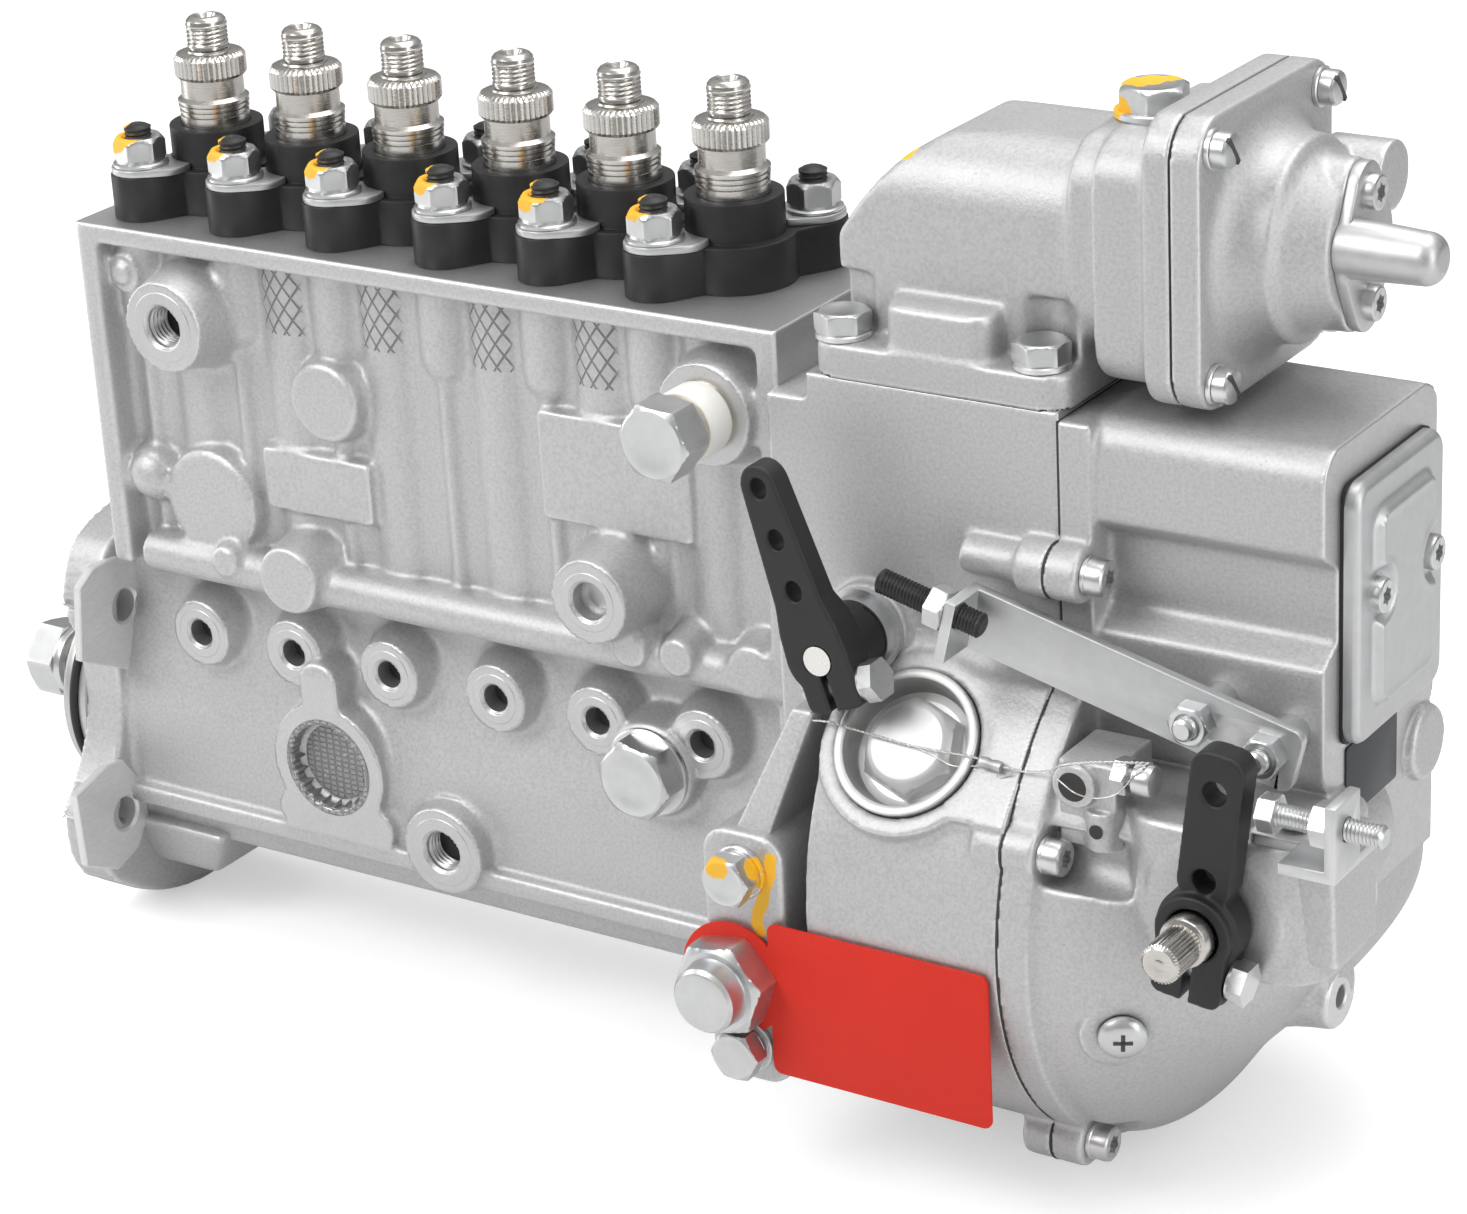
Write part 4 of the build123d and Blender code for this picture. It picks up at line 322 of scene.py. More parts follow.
def black_oxide(name, base=0.012, rough=0.34, paint=None):
    """Black phosphate with oil: near black, soft sheen, edges grey and more metallic, partly rubbed wear and partly
    painted highlight.
    """
    f = Finish(name)
    cloud = f.noise(5.0, 4.0, 0.6)
    fine = f.noise(0.5, 2.0)
    edges = f.painted_light_and_wear_mask(0.52, 0.58)
    colour = f.blend(cloud, toned(base, 0.7, 0.7, 0.75), toned(base, 1.7, 1.7, 1.75))
    # Edges greyer and more metallic: rubbed wear and painted highlight together.
    colour = f.blend(edges * 0.35, colour, toned(base, 9))
    metal = 0.25 + edges * 0.4
    gloss = rough + cloud * 0.16 + fine * 0.05
    return f.surface(*daubed(f, paint, colour, gloss, metal, 0.1), f.bump(fine + cloud, 0.06, 0.35),
                     Specular_IOR_Level=0.6)


def plastic(name, colour, rough, speck=0.10, sheen=0.5):
    """Moulded plastic or rubber: slightly cloudy, with a fine grain."""
    f = Finish(name)
    cloud = f.noise(12.0, 3.0)
    fine = f.noise(0.4, 2.0)
    tone = f.blend(cloud, toned(colour, 1 - speck), toned(colour, 1 + speck))
    return f.surface(tone, rough + cloud * 0.1, 0.0, f.bump(fine + cloud, 0.04, 0.3), Specular_IOR_Level=sheen)


# daubs of paint: (x, y, z, radius); the run on the lug face follows a line of (x, z)
NUT_PAINT = [(x - STUD_DX - 3.0, -STUD_DY - 2.0, 186.5 + (i % 3) * 0.6, 7.6 - (i % 2) * 0.9)
             for i, x in enumerate(ELEMENTS)]
STUD_PAINT = [(x - STUD_DX - 5.2, -STUD_DY - 1.0, 187.0, 3.6) for x in ELEMENTS]
BOOST_PAINT = [(284.0, -24.0, 209.0, 7.0), (291.0, -22.0, 212.0, 5.0)]
PLUG_PAINT = [(347.5, -11.0, 224.0, 5.6), (349.5, -8.0, 228.0, 4.2), (353.0, -4.5, 230.0, 3.6),
              (357.5, -1.0, 230.2, 2.4)]
LUG_PAINT = [(266.0, -86.5, 32.0, 3.4), (274.0, -80.0, 31.0, 3.2), (275.2, -78.0, 26.5, 2.2)]
RUN_LINE = [(277.2, 33.0), (276.4, 28.5), (275.2, 24.5), (274.2, 20.5), (272.4, 16.5), (271.6, 13.0), (273.0, 10.8)]
LUG_FACE_Y, RUN_R, RUN_STEPS = -77.0, 1.75, 5
RUN_PAINT = [(x0 + (x1 - x0) * k / RUN_STEPS, LUG_FACE_Y, z0 + (z1 - z0) * k / RUN_STEPS, RUN_R)
             for (x0, z0), (x1, z1) in zip(RUN_LINE, RUN_LINE[1:]) for k in range(RUN_STEPS)]
LOOKS = {
    "cast": cast_aluminium("cast_aluminium_skin", hatched=True),
    "cast_governor": cast_aluminium("cast_governor_skin", 0.58, RUN_PAINT),
    "cast_boost": cast_aluminium("cast_boost_skin", 0.57, BOOST_PAINT),
    "machined": machined_aluminium("milled_aluminium"),
    "pad": machined_aluminium("milled_ear_pads", 0.74, 0.5),
    "zinc": zinc("zinc_plate"),
    "zinc_nuts": zinc("zinc_plate_painted_nuts", paint=NUT_PAINT),
    "zinc_sheet": zinc("zinc_sheet", (0.58, 0.585, 0.59), 0.38),
    "bore": plastic("bore_shadow", (0.03, 0.028, 0.026), 0.55),
    # A darker copy of the casting skin: painted shade in the feed recess.
    "recess": cast_aluminium("feed_recess_shaded_skin", 0.46, knurled=True),
    "wire": zinc("sealing_wire", (0.60, 0.59, 0.56), 0.34),
    "lead": zinc("lead_seal", (0.46, 0.46, 0.47), 0.46),
    "zinc_plug": zinc("zinc_plug", paint=PLUG_PAINT),
    "zinc_lug": zinc("zinc_lug_bolts", paint=LUG_PAINT),
    "steel": turned_steel("bright_turned_steel"),
    "black": black_oxide("black_oxide"),
    "black_lever": black_oxide("black_lever_phosphate", 0.014, 0.42),
    "black_studs": black_oxide("black_studs", 0.016, 0.36, paint=STUD_PAINT),
    "zinc_cup": zinc("zinc_cup", (0.60, 0.60, 0.60), 0.40),
    "zinc_tube": zinc("zinc_tube", (0.58, 0.58, 0.585), 0.38),
    "gap": plastic("joint_shadow", (0.035, 0.034, 0.033), 0.6),
    "rubber": plastic("black_rubber", (0.016, 0.016, 0.017), 0.5),
    "white": plastic("white_plastic", (0.80, 0.79, 0.75), 0.38, 0.04),
    "red": plastic("red_plastic", (0.63, 0.027, 0.014), 0.55, 0.06, 0.25),
    "label": plastic("black_label", (0.022, 0.024, 0.030), 0.32, 0.1),
    "dark": plastic("shadowed_slot", (0.05, 0.05, 0.05), 0.6),
    "brass": turned_steel("brass_washer", (0.68, 0.52, 0.25), 0.30),
}


# --- mesh helpers
# corners 0-3 are one face of the box, 4-7 the face over them
BOX_FACES = [(0, 1, 2, 3), (4, 5, 6, 7), (0, 1, 5, 4), (1, 2, 6, 5), (2, 3, 7, 6), (3, 0, 4, 7)]
WELD, CAD_WELD = 1e-6, 2e-6


def placed(name, mesh):
    """A new object in the scene."""
    thing = bpy.data.objects.new(name, mesh)
    bpy.context.scene.collection.objects.link(thing)
    return thing


def piece(name, mesh, look, body):
    """A new object with one finish, riding on a body."""
    thing = placed(name, mesh)
    mesh.materials.append(LOOKS[look])
    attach(thing, body)
    return thing


def smooth_but(shade, sharp_deg):
    """Smooth faces, with edges sharper than the angle left sharp."""
    for face in shade.faces:
        face.smooth = True
    for edge in shade.edges:
        edge.smooth = not (len(edge.link_faces) == 2 and edge.calc_face_angle(0.0) > math.radians(sharp_deg))


def mesh_of(name, points, faces, sharp_deg=35.0):
    """Mesh from points in mm, smooth except over edges sharper than the angle."""
    mesh = bpy.data.meshes.new(name)
    mesh.from_pydata([tuple(c * MM for c in p) for p in points], [], faces)
    shade = bmesh.new()
    shade.from_mesh(mesh)
    bmesh.ops.remove_doubles(shade, verts=shade.verts, dist=WELD)
    bmesh.ops.recalc_face_normals(shade, faces=shade.faces)
    smooth_but(shade, sharp_deg)
    shade.to_mesh(mesh)
    shade.free()
    return mesh


def baked(name, mesh, kind, settings):
    """The mesh after one modifier."""
    rough = placed(name + "_rough", mesh)
    modifier = rough.modifiers.new("shape", kind)
    for key, value in settings.items():
        setattr(modifier, key, value)
    bpy.context.view_layer.update()
    done = bpy.data.meshes.new_from_object(rough.evaluated_get(bpy.context.evaluated_depsgraph_get()))
    bpy.data.objects.remove(rough)
    return done


def turn_axes(direction, towards=None):
    """Two unit vectors square to a direction."""
    d = Vector(direction).normalized()
    side = Vector(towards or (UP if abs(d.z) < 0.9 else END))
    u = (side - d * side.dot(d)).normalized()
    return d, u, d.cross(u)


def hex_r(flats, angle):
    """Radius of a hexagon with those flats at an angle."""
    return flats / 2 / math.cos((angle + math.pi / 6) % (math.pi / 3) - math.pi / 6)


def turned(rings, place, direction, sides=48, towards=None, closed=(True, True)):
    """Points and faces of a turned piece. A ring is (height, radius) or (height, function of the angle)."""
    d, u, v = turn_axes(direction, towards)
    points, faces = [], []
    for height, radius in rings:
        for k in range(sides):
            angle = 2 * math.pi * k / sides
            r = radius(angle) if callable(radius) else radius
            points.append(Vector(place) + d * height + u * (r * math.cos(angle)) + v * (r * math.sin(angle)))
    for i in range(len(rings) - 1):
        for k in range(sides):
            n = (k + 1) % sides
            faces.append((i * sides + k, i * sides + n, (i + 1) * sides + n, (i + 1) * sides + k))
    if closed[0]:
        faces.append(tuple(range(sides)))
    if closed[1]:
        faces.append(tuple(reversed(range((len(rings) - 1) * sides, len(rings) * sides))))
    return points, faces


def thread_rings(low, high, outer, pitch, depth):
    """Rings of a screw thread between two heights."""
    count = max(2, int((high - low) / pitch * 6))
    rings = []
    for i in range(count + 1):
        height = low + (high - low) * i / count

        def radius(angle, height=height):
            phase = (height / pitch - angle / (2 * math.pi)) % 1.0
            fade = min(1.0, (height - low) / pitch, (high - height) / pitch)
            return outer - depth * fade * abs(2 * phase - 1)

        rings.append((height, radius))
    return rings


def gather(*parts):
    """Joins (points, faces) pairs into one."""
    points, faces = [], []
    for more_points, more_faces in parts:
        start = len(points)
        points += more_points
        faces += [tuple(start + i for i in face) for face in more_faces]
    return points, faces


def add(name, parts, look, sharp=25, body="pump"):
    """A piece made of (points, faces) parts, for detail that no CAD node holds."""
    return piece(name, mesh_of(name, *gather(*parts), sharp), look, body)


def stand_in(name, node, parts, look, sharp=25, body="pump"):
    """A piece that takes the place of a CAD node."""
    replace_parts(add(name, parts, look, sharp, body), node)


def hex_head(place, direction, flats, height, towards=None, cup=0.0):
    """Hexagon head with a turned chamfer and, where asked, a dished top."""
    chamfer, top, corner = flats * 0.075, flats / 2 * 0.94, flats * 0.60

    def clipped(limit):
        return lambda angle: min(hex_r(flats, angle), limit)

    rings = [(0.0, clipped(flats * 0.565)), (0.25, clipped(corner))]
    rings += [(height - chamfer * k, clipped(top + (corner - top) * k)) for k in (1.0, 0.75, 0.5, 0.25, 0.0)]
    if cup:
        rings += [(height, flats * 0.36), (height - cup, flats * 0.30)]
    return turned(rings, place, direction, 72, towards)


def screw_head(place, direction, radius, height, key):
    """Round head with a rounded rim and a six-lobed socket."""
    def lobed(share):
        return lambda a: key * (share + 0.14 * math.cos(6 * a))

    return turned([(0.0, radius), (height * 0.7, radius), (height * 0.92, radius * 0.95), (height, radius * 0.84),
                   (height, lobed(1.0)), (height - key * 0.9, lobed(0.96)), (height - key * 1.1, key * 0.3)],
                  place, direction)


def washer(place, direction, outer, thick, rim=0.35):
    """Washer with rounded rims."""
    return turned([(0.0, outer - rim * 0.5), (rim * 0.5, outer), (thick - rim, outer), (thick, outer - rim)],
                  place, direction)


def read_all(items, attribute, width=1, kind=float):
    """One attribute of all the items of a mesh, as an array."""
    values = np.empty(len(items) * width, kind)
    items.foreach_get(attribute, values)
    return values.reshape(-1, width) if width > 1 else values


FLAT_REACH, FLAT_FACING, PULL = 0.75, 0.55, (0.5, 0.45)


def cast_skin(node, name, look, voxel, rounds, flats=(), hidden=None, body="pump",
              reshape=None, shape=None):
    """A casting with natural fillets: remeshed, eased, and kept flat where it is machined. It replaces
    a node, or is a rough shape of its own. flats are (axis, value) planes in mm, with (axis, low, high)
    bounds; hidden picks closed-in points to drop; reshape moves the points first."""
    solid = (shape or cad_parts[node].data).copy()
    mesh = baked(name, solid, "REMESH", {"mode": "VOXEL", "voxel_size": voxel * MM})
    count = len(mesh.vertices)
    co = read_all(mesh.vertices, "co", 3) * IN_MM
    normal = read_all(mesh.vertices, "normal", 3)
    edges = read_all(mesh.edges, "vertices", 2, int)
    kept = np.zeros(count, bool)
    first = co.copy()
    for axis, value, *box in flats:
        near = (np.abs(co[:, axis] - value) < voxel * FLAT_REACH) & (np.abs(normal[:, axis]) > FLAT_FACING)
        for k, low, high in box:
            near &= (co[:, k] > low) & (co[:, k] < high)
        first[near, axis] = value
        kept |= near
    co = reshape(first) if reshape else first
    a, b = np.concatenate([edges[:, 0], edges[:, 1]]), np.concatenate([edges[:, 1], edges[:, 0]])
    degree = np.maximum(np.bincount(a, minlength=count), 1)
    for turn in range(rounds):
        mean = np.stack([np.bincount(a, weights=co[b, k], minlength=count) / degree for k in range(3)], axis=1)
        co = np.where(kept[:, None], co, co + (mean - co) * PULL[turn % 2])
    co /= IN_MM
    mesh.vertices.foreach_set("co", co.ravel())
    mesh.polygons.foreach_set("use_smooth", np.ones(len(mesh.polygons), bool))
    look = look if isinstance(look, tuple) else (look,)
    mesh.materials.clear()
    for one in look:
        mesh.materials.append(LOOKS[one])
    if len(look) > 1:
        corner = read_all(mesh.loops, "vertex_index", kind=np.int32)
        start = read_all(mesh.polygons, "loop_start", kind=np.int32)
        flat = kept[corner[start]] & kept[corner[start + 1]] & kept[corner[start + 2]]
        mesh.polygons.foreach_set("material_index", flat.astype(np.int32))
    if hidden:
        trim = bmesh.new()
        trim.from_mesh(mesh)
        trim.verts.ensure_lookup_table()
        closed_in = [trim.verts[i] for i in np.nonzero(hidden(co * IN_MM))[0]]
        bmesh.ops.delete(trim, geom=closed_in, context="VERTS")
        trim.to_mesh(mesh)
        trim.free()
    mesh.update()
    thing = placed(name, mesh)
    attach(thing, body)
    if node:
        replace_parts(thing, node)


# --- castings
def housing_inside(p):
    """Points of the pump housing that only its hidden bores would show."""
    x, y, z = p.T
    tunnel = (y * y + z * z < 28.4 ** 2) & (x > 13.5) & (x < 258.5)
    shaft_space = (np.abs(y) < 17.0) & (z > 10.0) & (z < 97.9) & (x > 21.5) & (x < 257.5)
    rack_space = (y < 1.0) & (y > -24.2) & (z > 80.0) & (z < 98.5) & (x > 24.8) & (x < 259.4)
    gone = tunnel | shaft_space | rack_space
    for ex in ELEMENTS:
        gone |= ((x - ex) ** 2 + y * y < 13.2 ** 2) & (z > 90.0) & (z < 160.4)
        for s in (-1, 1):
            gone |= ((x - ex - s * STUD_DX) ** 2 + (y - s * STUD_DY) ** 2 < 5.2 ** 2) & (z < 160.4) & (z > 125.0)
    return gone


def governor_inside(p):
    """Points of the governor housing that only its hidden space would show."""
    x, y, z = p.T
    gone = (y * y + (z - 9.0) ** 2 < 61.4 ** 2) & (x > 294.0) & (x < 343.5)
    gone |= (y * y + (z - 9.0) ** 2 < 31.4 ** 2) & (x > 266.0) & (x < 343.5)
    gone |= (y > -37.4) & (y < 5.4) & (z > 9.0) & (z < 139.8) & (x > 266.0) & (x < 343.5)
    return gone


SCALLOP_R, SCALLOP_DEPTH, SCALLOP_HALF_DEG, RIM_R, FLANGE_T = 52.0, 33.5, 37.4, 65.0, 14.6
FLANGE_TURN, RIM_STEPS, RIM_SPREAD = math.radians(-8.9), 720, 36


def round_flange(p):
    """Rounds the horns where the side scallops of the drive flange meet its rim."""
    angle = np.radians(np.arange(RIM_STEPS) * 360.0 / RIM_STEPS)
    out = SCALLOP_DEPTH + SCALLOP_R
    rim = np.full(RIM_STEPS, RIM_R)
    for centre in (0.0, math.pi):
        turn = (angle - centre + math.pi) % (2 * math.pi) - math.pi
        inside = np.maximum(SCALLOP_R ** 2 - (out * np.sin(turn)) ** 2, 0.0)
        scallop = np.minimum(rim, out * np.cos(turn) - np.sqrt(inside))
        rim = np.where(np.abs(turn) < math.radians(SCALLOP_HALF_DEG), scallop, rim)
    window = 2 * RIM_SPREAD + 1
    around = np.concatenate([rim[-RIM_SPREAD:], rim, rim[:RIM_SPREAD]])
    eased_rim = np.minimum(np.convolve(around, np.ones(window) / window, "valid"), rim)
    x, y, z = p.T
    where = np.degrees(np.arctan2(z, y) - FLANGE_TURN) % 360.0 * RIM_STEPS / 360.0
    index = np.minimum(where.astype(int), RIM_STEPS - 1)
    part = np.clip((np.hypot(y, z) - 38.0) / 12.0, 0.0, 1.0) * (x < FLANGE_T)
    scale = 1.0 + (eased_rim[index] / rim[index] - 1.0) * part
    return np.stack([x, y * scale, z * scale], axis=1)


DOME_X, DOME_TOP_Z, DOME_DROP, DOME_SHARE = 354.0, 14.0, 58.0, 0.48


def flat_dome(p):
    """The lower dome falls back under its lever; the drilled boss keeps its length."""
    x, y, z = p.T
    t = np.clip((DOME_TOP_Z - z) / DOME_DROP, 0.0, 1.0)
    keep = 1.0 - DOME_SHARE * t * t * (3 - 2 * t)
    boss = np.clip((10.2 - np.hypot(y + 20.0, z + 1.0)) / 1.2, 0.0, 1.0) * (x > 392.0)
    keep = keep + (1.0 - keep) * boss
    return np.stack([np.where(x > DOME_X, DOME_X + (x - DOME_X) * keep, x), y, z], axis=1)


GOVERNOR_JOINT_X, BASE_Z = 344.0, 153.5
cast_skin("pump_housing", "pump_housing_casting", ("cast", "machined"), 0.95, 6, reshape=round_flange,
          flats=((2, 161.0), (0, 0.0), (0, 259.0), (1, -43.0), (1, -38.0, (0, 220, 255), (2, 120, 152)), (1, -44.0),
                 (1, -37.0, (0, 120, 152), (2, -30, 2)), (1, -31.0), (1, -34.5, (0, 70, 118), (2, -20, 32))),
          hidden=housing_inside)
cast_skin("governor_housing", "governor_housing_casting", ("cast_governor", "machined"), 0.85, 7,
          flats=((2, BASE_Z), (0, GOVERNOR_JOINT_X), (0, 259.0)), hidden=governor_inside)
cast_skin("governor_cover", "governor_cover_casting", ("cast_governor", "machined"), 0.85, 7,
          flats=((0, GOVERNOR_JOINT_X), (0, 415.0)), reshape=flat_dome)
cast_skin("boost_body", "boost_body_casting", ("cast_boost", "machined"), 0.85, 12, flats=((2, BASE_Z), (0, 373.5)))
cast_skin("boost_cover", "boost_cover_casting", ("cast_boost", "machined"), 0.8, 4, flats=((0, 374.3),))

# --- finishes of the carried-over nodes
NODE_LOOKS = {
    "steel": "camshaft camshaft_bearings roller_tappets plungers valve_holders control_rack flyweights control_shaft "
             "stop_shaft control_sleeve_1 control_sleeve_2 control_sleeve_3 control_sleeve_4 control_sleeve_5 "
             "control_sleeve_6",
    "zinc": "nose_washer nose_nut vent_bolt side_plug timing_plug tag_washer big_plug rim_screws control_clamp_bolt "
            "stop_washers stop_clamp_bolt bracket_studs bracket_nuts angle_screw stop_screw base_bolts case_screws "
            "cap_tube cover_screws dome_plug",
    "zinc_sheet": "clamp_plates end_cover long_bracket angle_bracket", "zinc_nuts": "element_nuts",
    "zinc_lug": "lug_bolts", "zinc_plug": "boost_plug", "machined": "drive_end_cover",
    "black": "flange_sleeves set_screw", "black_studs": "element_studs", "black_lever": "control_lever stop_lever",
    "rubber": "pilot_o_ring end_gasket membrane", "brass": "vent_washers", "white": "vent_spacer", "red": "red_tag",
    "label": "data_plate",
}
for look, nodes in NODE_LOOKS.items():
    for node in nodes.split():
        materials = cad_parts[node].data.materials
        materials.clear()
        materials.append(LOOKS[look])


# --- delivery valve holders, nuts and studs
def valve_holder(x):
    """Turned holder: coned outlet with its thread, knurled crown, smooth neck and grooved land."""
    def knurl(base):
        return lambda a: base + 0.32 * math.sin(a * 40)

    rings = [(161.5, 9.6), (184.0, 9.8), (187.6, 9.9), (187.9, 9.5), (188.3, 9.5), (188.5, 10.0), (189.2, 10.0),
             (189.4, 9.55), (189.8, 9.55), (190.0, 10.15), (190.7, 10.15), (190.9, 9.7), (191.2, 9.7), (191.4, 10.25),
             (192.1, 10.25)]
    rings += [(192.6, 9.6), (193.1, 9.05), (198.3, 9.0), (198.5, knurl(9.3)), (199.4, knurl(10.05)),
              (204.2, knurl(10.05)), (205.2, knurl(9.2)), (205.5, 8.6), (205.8, 6.6), (206.3, 6.35), (206.6, 5.45),
              (207.2, 5.35)]
    rings += thread_rings(207.3, 213.6, 5.95, 1.25, 0.55)
    rings += [(213.7, 5.8), (214.7, 5.65), (215.5, 5.0), (215.9, 4.2), (216.0, 3.6), (215.8, 3.2), (212.6, 1.0),
              (208.0, 0.9)]
    return turned(rings, (x, 0, 0), UP, 160, END)


NUT_FLATS, NUT_TURN = 13.0, 0.21


def nut_top(x, y):
    """Thin collar washer and a flanged nut over the clamp plate."""
    def flats(a):
        return hex_r(NUT_FLATS, a)

    rings = [(176.0, 7.7), (176.25, 8.0), (176.9, 7.95), (177.3, 7.3), (177.3, lambda a: max(flats(a) * 0.93, 6.9)),
             (178.0, lambda a: min(flats(a), 7.2)), (178.3, lambda a: flats(a) * 0.995)]
    rings += [(182.7 + 1.8 * k, lambda a, k=k: min(flats(a), 7.55 - 1.35 * k)) for k in (0.0, 0.3, 0.6, 0.8, 1.0)]
    rings += [(184.5, 5.0), (184.1, 4.3), (183.8, 3.95)]
    return turned(rings, (x, y, 0), UP, 72, (math.cos(NUT_TURN), math.sin(NUT_TURN), 0))


def stud(x, y):
    """Black stud with its threaded end over the nut."""
    rings = [(132.0, 3.8), (176.0, 3.85)] + thread_rings(176.2, 187.0, 3.95, 1.25, 0.45)
    return turned(rings + [(187.1, 3.5), (187.6, 2.9), (188.0, 1.8)], (x, y, 0), UP, 36)


stud_places = [(x + s * STUD_DX, s * STUD_DY) for x in ELEMENTS for s in (-1, 1)]
stand_in("valve_holders_turned", "valve_holders", [valve_holder(x) for x in ELEMENTS], "steel", 28)
stand_in("element_nuts_flanged", "element_nuts", [nut_top(*p) for p in stud_places], "zinc_nuts", 22)
stand_in("element_studs_threaded", "element_studs", [stud(*p) for p in stud_places], "black_studs", 40)


# --- hexagon bolts, plugs and screws
def bolt_with_washer(place, direction, flats, washer_r, washer_t, head_h, shank_r, shank_len):
    """Hexagon bolt on its washer, with the shank that goes into the casting."""
    d, p = Vector(direction), Vector(place)
    return gather(washer(p, d, washer_r, washer_t), hex_head(p + d * washer_t, d, flats, head_h, cup=0.3),
                  turned([(-shank_len, shank_r * 0.8), (-shank_len + 1, shank_r), (0.2, shank_r)], p, d, 32))


lug_bolts = [gather(bolt_with_washer((267.8, -78.6, z), FRONT, 13.0, 6.6, 2.0, 5.4, 3.9, 12.3),
                    washer((267.8, LUG_FACE_Y, z), FRONT, 7.5, 1.6)) for z in (27.6, -23.4)]
stand_in("lug_bolts_hex", "lug_bolts", lug_bolts, "zinc_lug")
base_bolts = [bolt_with_washer((x, y, 162.5), UP, 13.0, 7.5, 1.6, 5.4, 3.9, 20.9)
              for x in (336.0, 278.5) for y in (26.5, -32.5)]
stand_in("base_bolts_hex", "base_bolts", base_bolts, "zinc")

BIG_PLUG, BIG_PLUG_SEAT = (264.8, -79.0, -3.6), (264.8, -78.8, -3.6)
stand_in("big_plug_hex", "big_plug",
         [turned([(-14.0, 7.9), (0.1, 8.0)], BIG_PLUG_SEAT, FRONT, 32),
          hex_head(BIG_PLUG, FRONT, 24.0, 9.0, (0.766, 0, 0.643)),
          turned([(8.9, 9.8), (9.4, 9.6), (14.6, 9.2), (15.7, 8.3), (16.0, 7.4)], BIG_PLUG, FRONT, 64)],
         "zinc")

SIDE_PLUG = (209.0, -33.0, 25.5)
stand_in("side_plug_hex", "side_plug",
         [turned([(0.0, 12.8), (0.3, 13.0), (1.3, 13.0), (1.6, 12.6)], SIDE_PLUG, FRONT, 64),
          hex_head((209.0, -34.5, 25.5), FRONT, 21.0, 7.5, (1, 0, 0.35), cup=0.5),
          turned([(-10.0, 6.0), (0.2, 6.0)], SIDE_PLUG, FRONT, 32)], "zinc")

VENT = (237.3, -50.0, 136.0)
stand_in("vent_bolt_hex", "vent_bolt",
         [turned([(-26.0, 5.9), (0.5, 6.0)], VENT, FRONT, 32),
          turned([(0.0, 9.4), (0.6, 9.7), (2.6, 9.7)], VENT, FRONT, 64),
          hex_head((237.3, -51.6, 136.0), FRONT, 19.5, 10.6, (1, 0, 0.45), cup=0.25)], "zinc")

BOOST_PLUG = (354.8, -7.0, 222.0)
stand_in("boost_plug_hex", "boost_plug",
         [turned([(-9.4, 7.0), (0.2, 7.0)], BOOST_PLUG, UP, 32),
          turned([(0.0, 9.8), (0.4, 10.0), (1.6, 10.0), (2.0, 9.4)], BOOST_PLUG, UP, 64),
          hex_head((354.8, -7.0, 224.0), UP, 15.8, 6.0, (1, 0.3, 0), cup=0.4)], "zinc_plug")

rim_places = [(s * y - shift, z) for s in (-1, 1)
              for y, z, shift in ((40.0, 113.0, 2.0), (67.0, 47.0, 0.0), (45.0, -46.0, 0.0))]
rim_screws = [gather(washer((353.0, y, z), END, 5.2, 1.2, 0.25), screw_head((354.1, y, z), END, 4.9, 4.8, 2.3),
                     turned([(-17.9, 2.6), (0.3, 2.9)], (353.0, y, z), END, 24)) for y, z in rim_places]
stand_in("rim_screws_torx", "rim_screws", rim_screws, "zinc", 30)


def slotted_head(place):
    """Cheese head with a screwdriver slot, on a spring washer; the slot is a second mesh, a dark box that paints the
    shade in the slot.
    """
    d, u, v = turn_axes(END)
    base = Vector(place)
    head = turned([(1.3, 4.3), (1.4, 4.55), (4.6, 4.5), (5.3, 4.1), (5.7, 3.2), (5.85, 1.5)], base, END)
    corners = [(-4.3, -0.65), (4.3, -0.65), (4.3, 0.65), (-4.3, 0.65)]
    slot = [base + d * h + u * (a * 0.8 - b * 0.6) + v * (a * 0.6 + b * 0.8) for h in (3.9, 5.9) for a, b in corners]
    return gather(washer(base, END, 5.2, 1.3, 0.3), head), (slot, BOX_FACES)


CASE_SCREWS = [(381.8, y, z) for y in (29.5, -29.5) for z in (222.5, 163.5)]
case_heads, case_slots = zip(*(slotted_head(p) for p in CASE_SCREWS))
shanks = [turned([(-14.9, 2.6), (0.3, 2.9)], p, END, 24) for p in CASE_SCREWS]
stand_in("case_screws_slotted", "case_screws", [*case_heads, *shanks], "zinc")
add("case_screw_slots", case_slots, "dark")

# timing plug: a deep cup with a hexagon standing in it
PLUG = Vector((310.0, -61.0, 66.3))
PLUG_OUT = Vector((0, -math.cos(math.radians(43)), math.sin(math.radians(43))))
PLUG_FLATS, PLUG_TURN = 24.0, 0.26


def plug_flats(a):
    return hex_r(PLUG_FLATS, a)


cup = [(-8.9, 19.0), (-0.2, 19.85), (1.0, 19.9), (1.35, 19.6), (1.5, 19.1), (1.45, 18.0), (1.2, 17.4), (-0.5, 17.0),
       (-4.4, 16.4), (-5.4, 15.8), (-5.8, 14.6), (-6.0, 13.5)]
hexagon = [(-6.0, lambda a: plug_flats(a) * 1.02), (-5.4, plug_flats), (-2.6, plug_flats)]
hexagon += [(-2.6 + 2.6 * k, lambda a, k=k: min(plug_flats(a), 14.0 - 3.4 * k)) for k in (0.25, 0.5, 0.75, 0.9)]
hexagon += [(0.1, 9.9), (0.0, 9.2)]
stand_in("timing_plug_cup", "timing_plug",
         [turned(cup, PLUG, PLUG_OUT, 96, closed=(True, False)),
          turned([(-6.0, 19.0), (-5.9, 3.0)], PLUG, PLUG_OUT, 96),
          turned(hexagon, PLUG, PLUG_OUT, 96, (math.cos(PLUG_TURN), 0, math.sin(PLUG_TURN)))],
         "zinc_cup", 24)


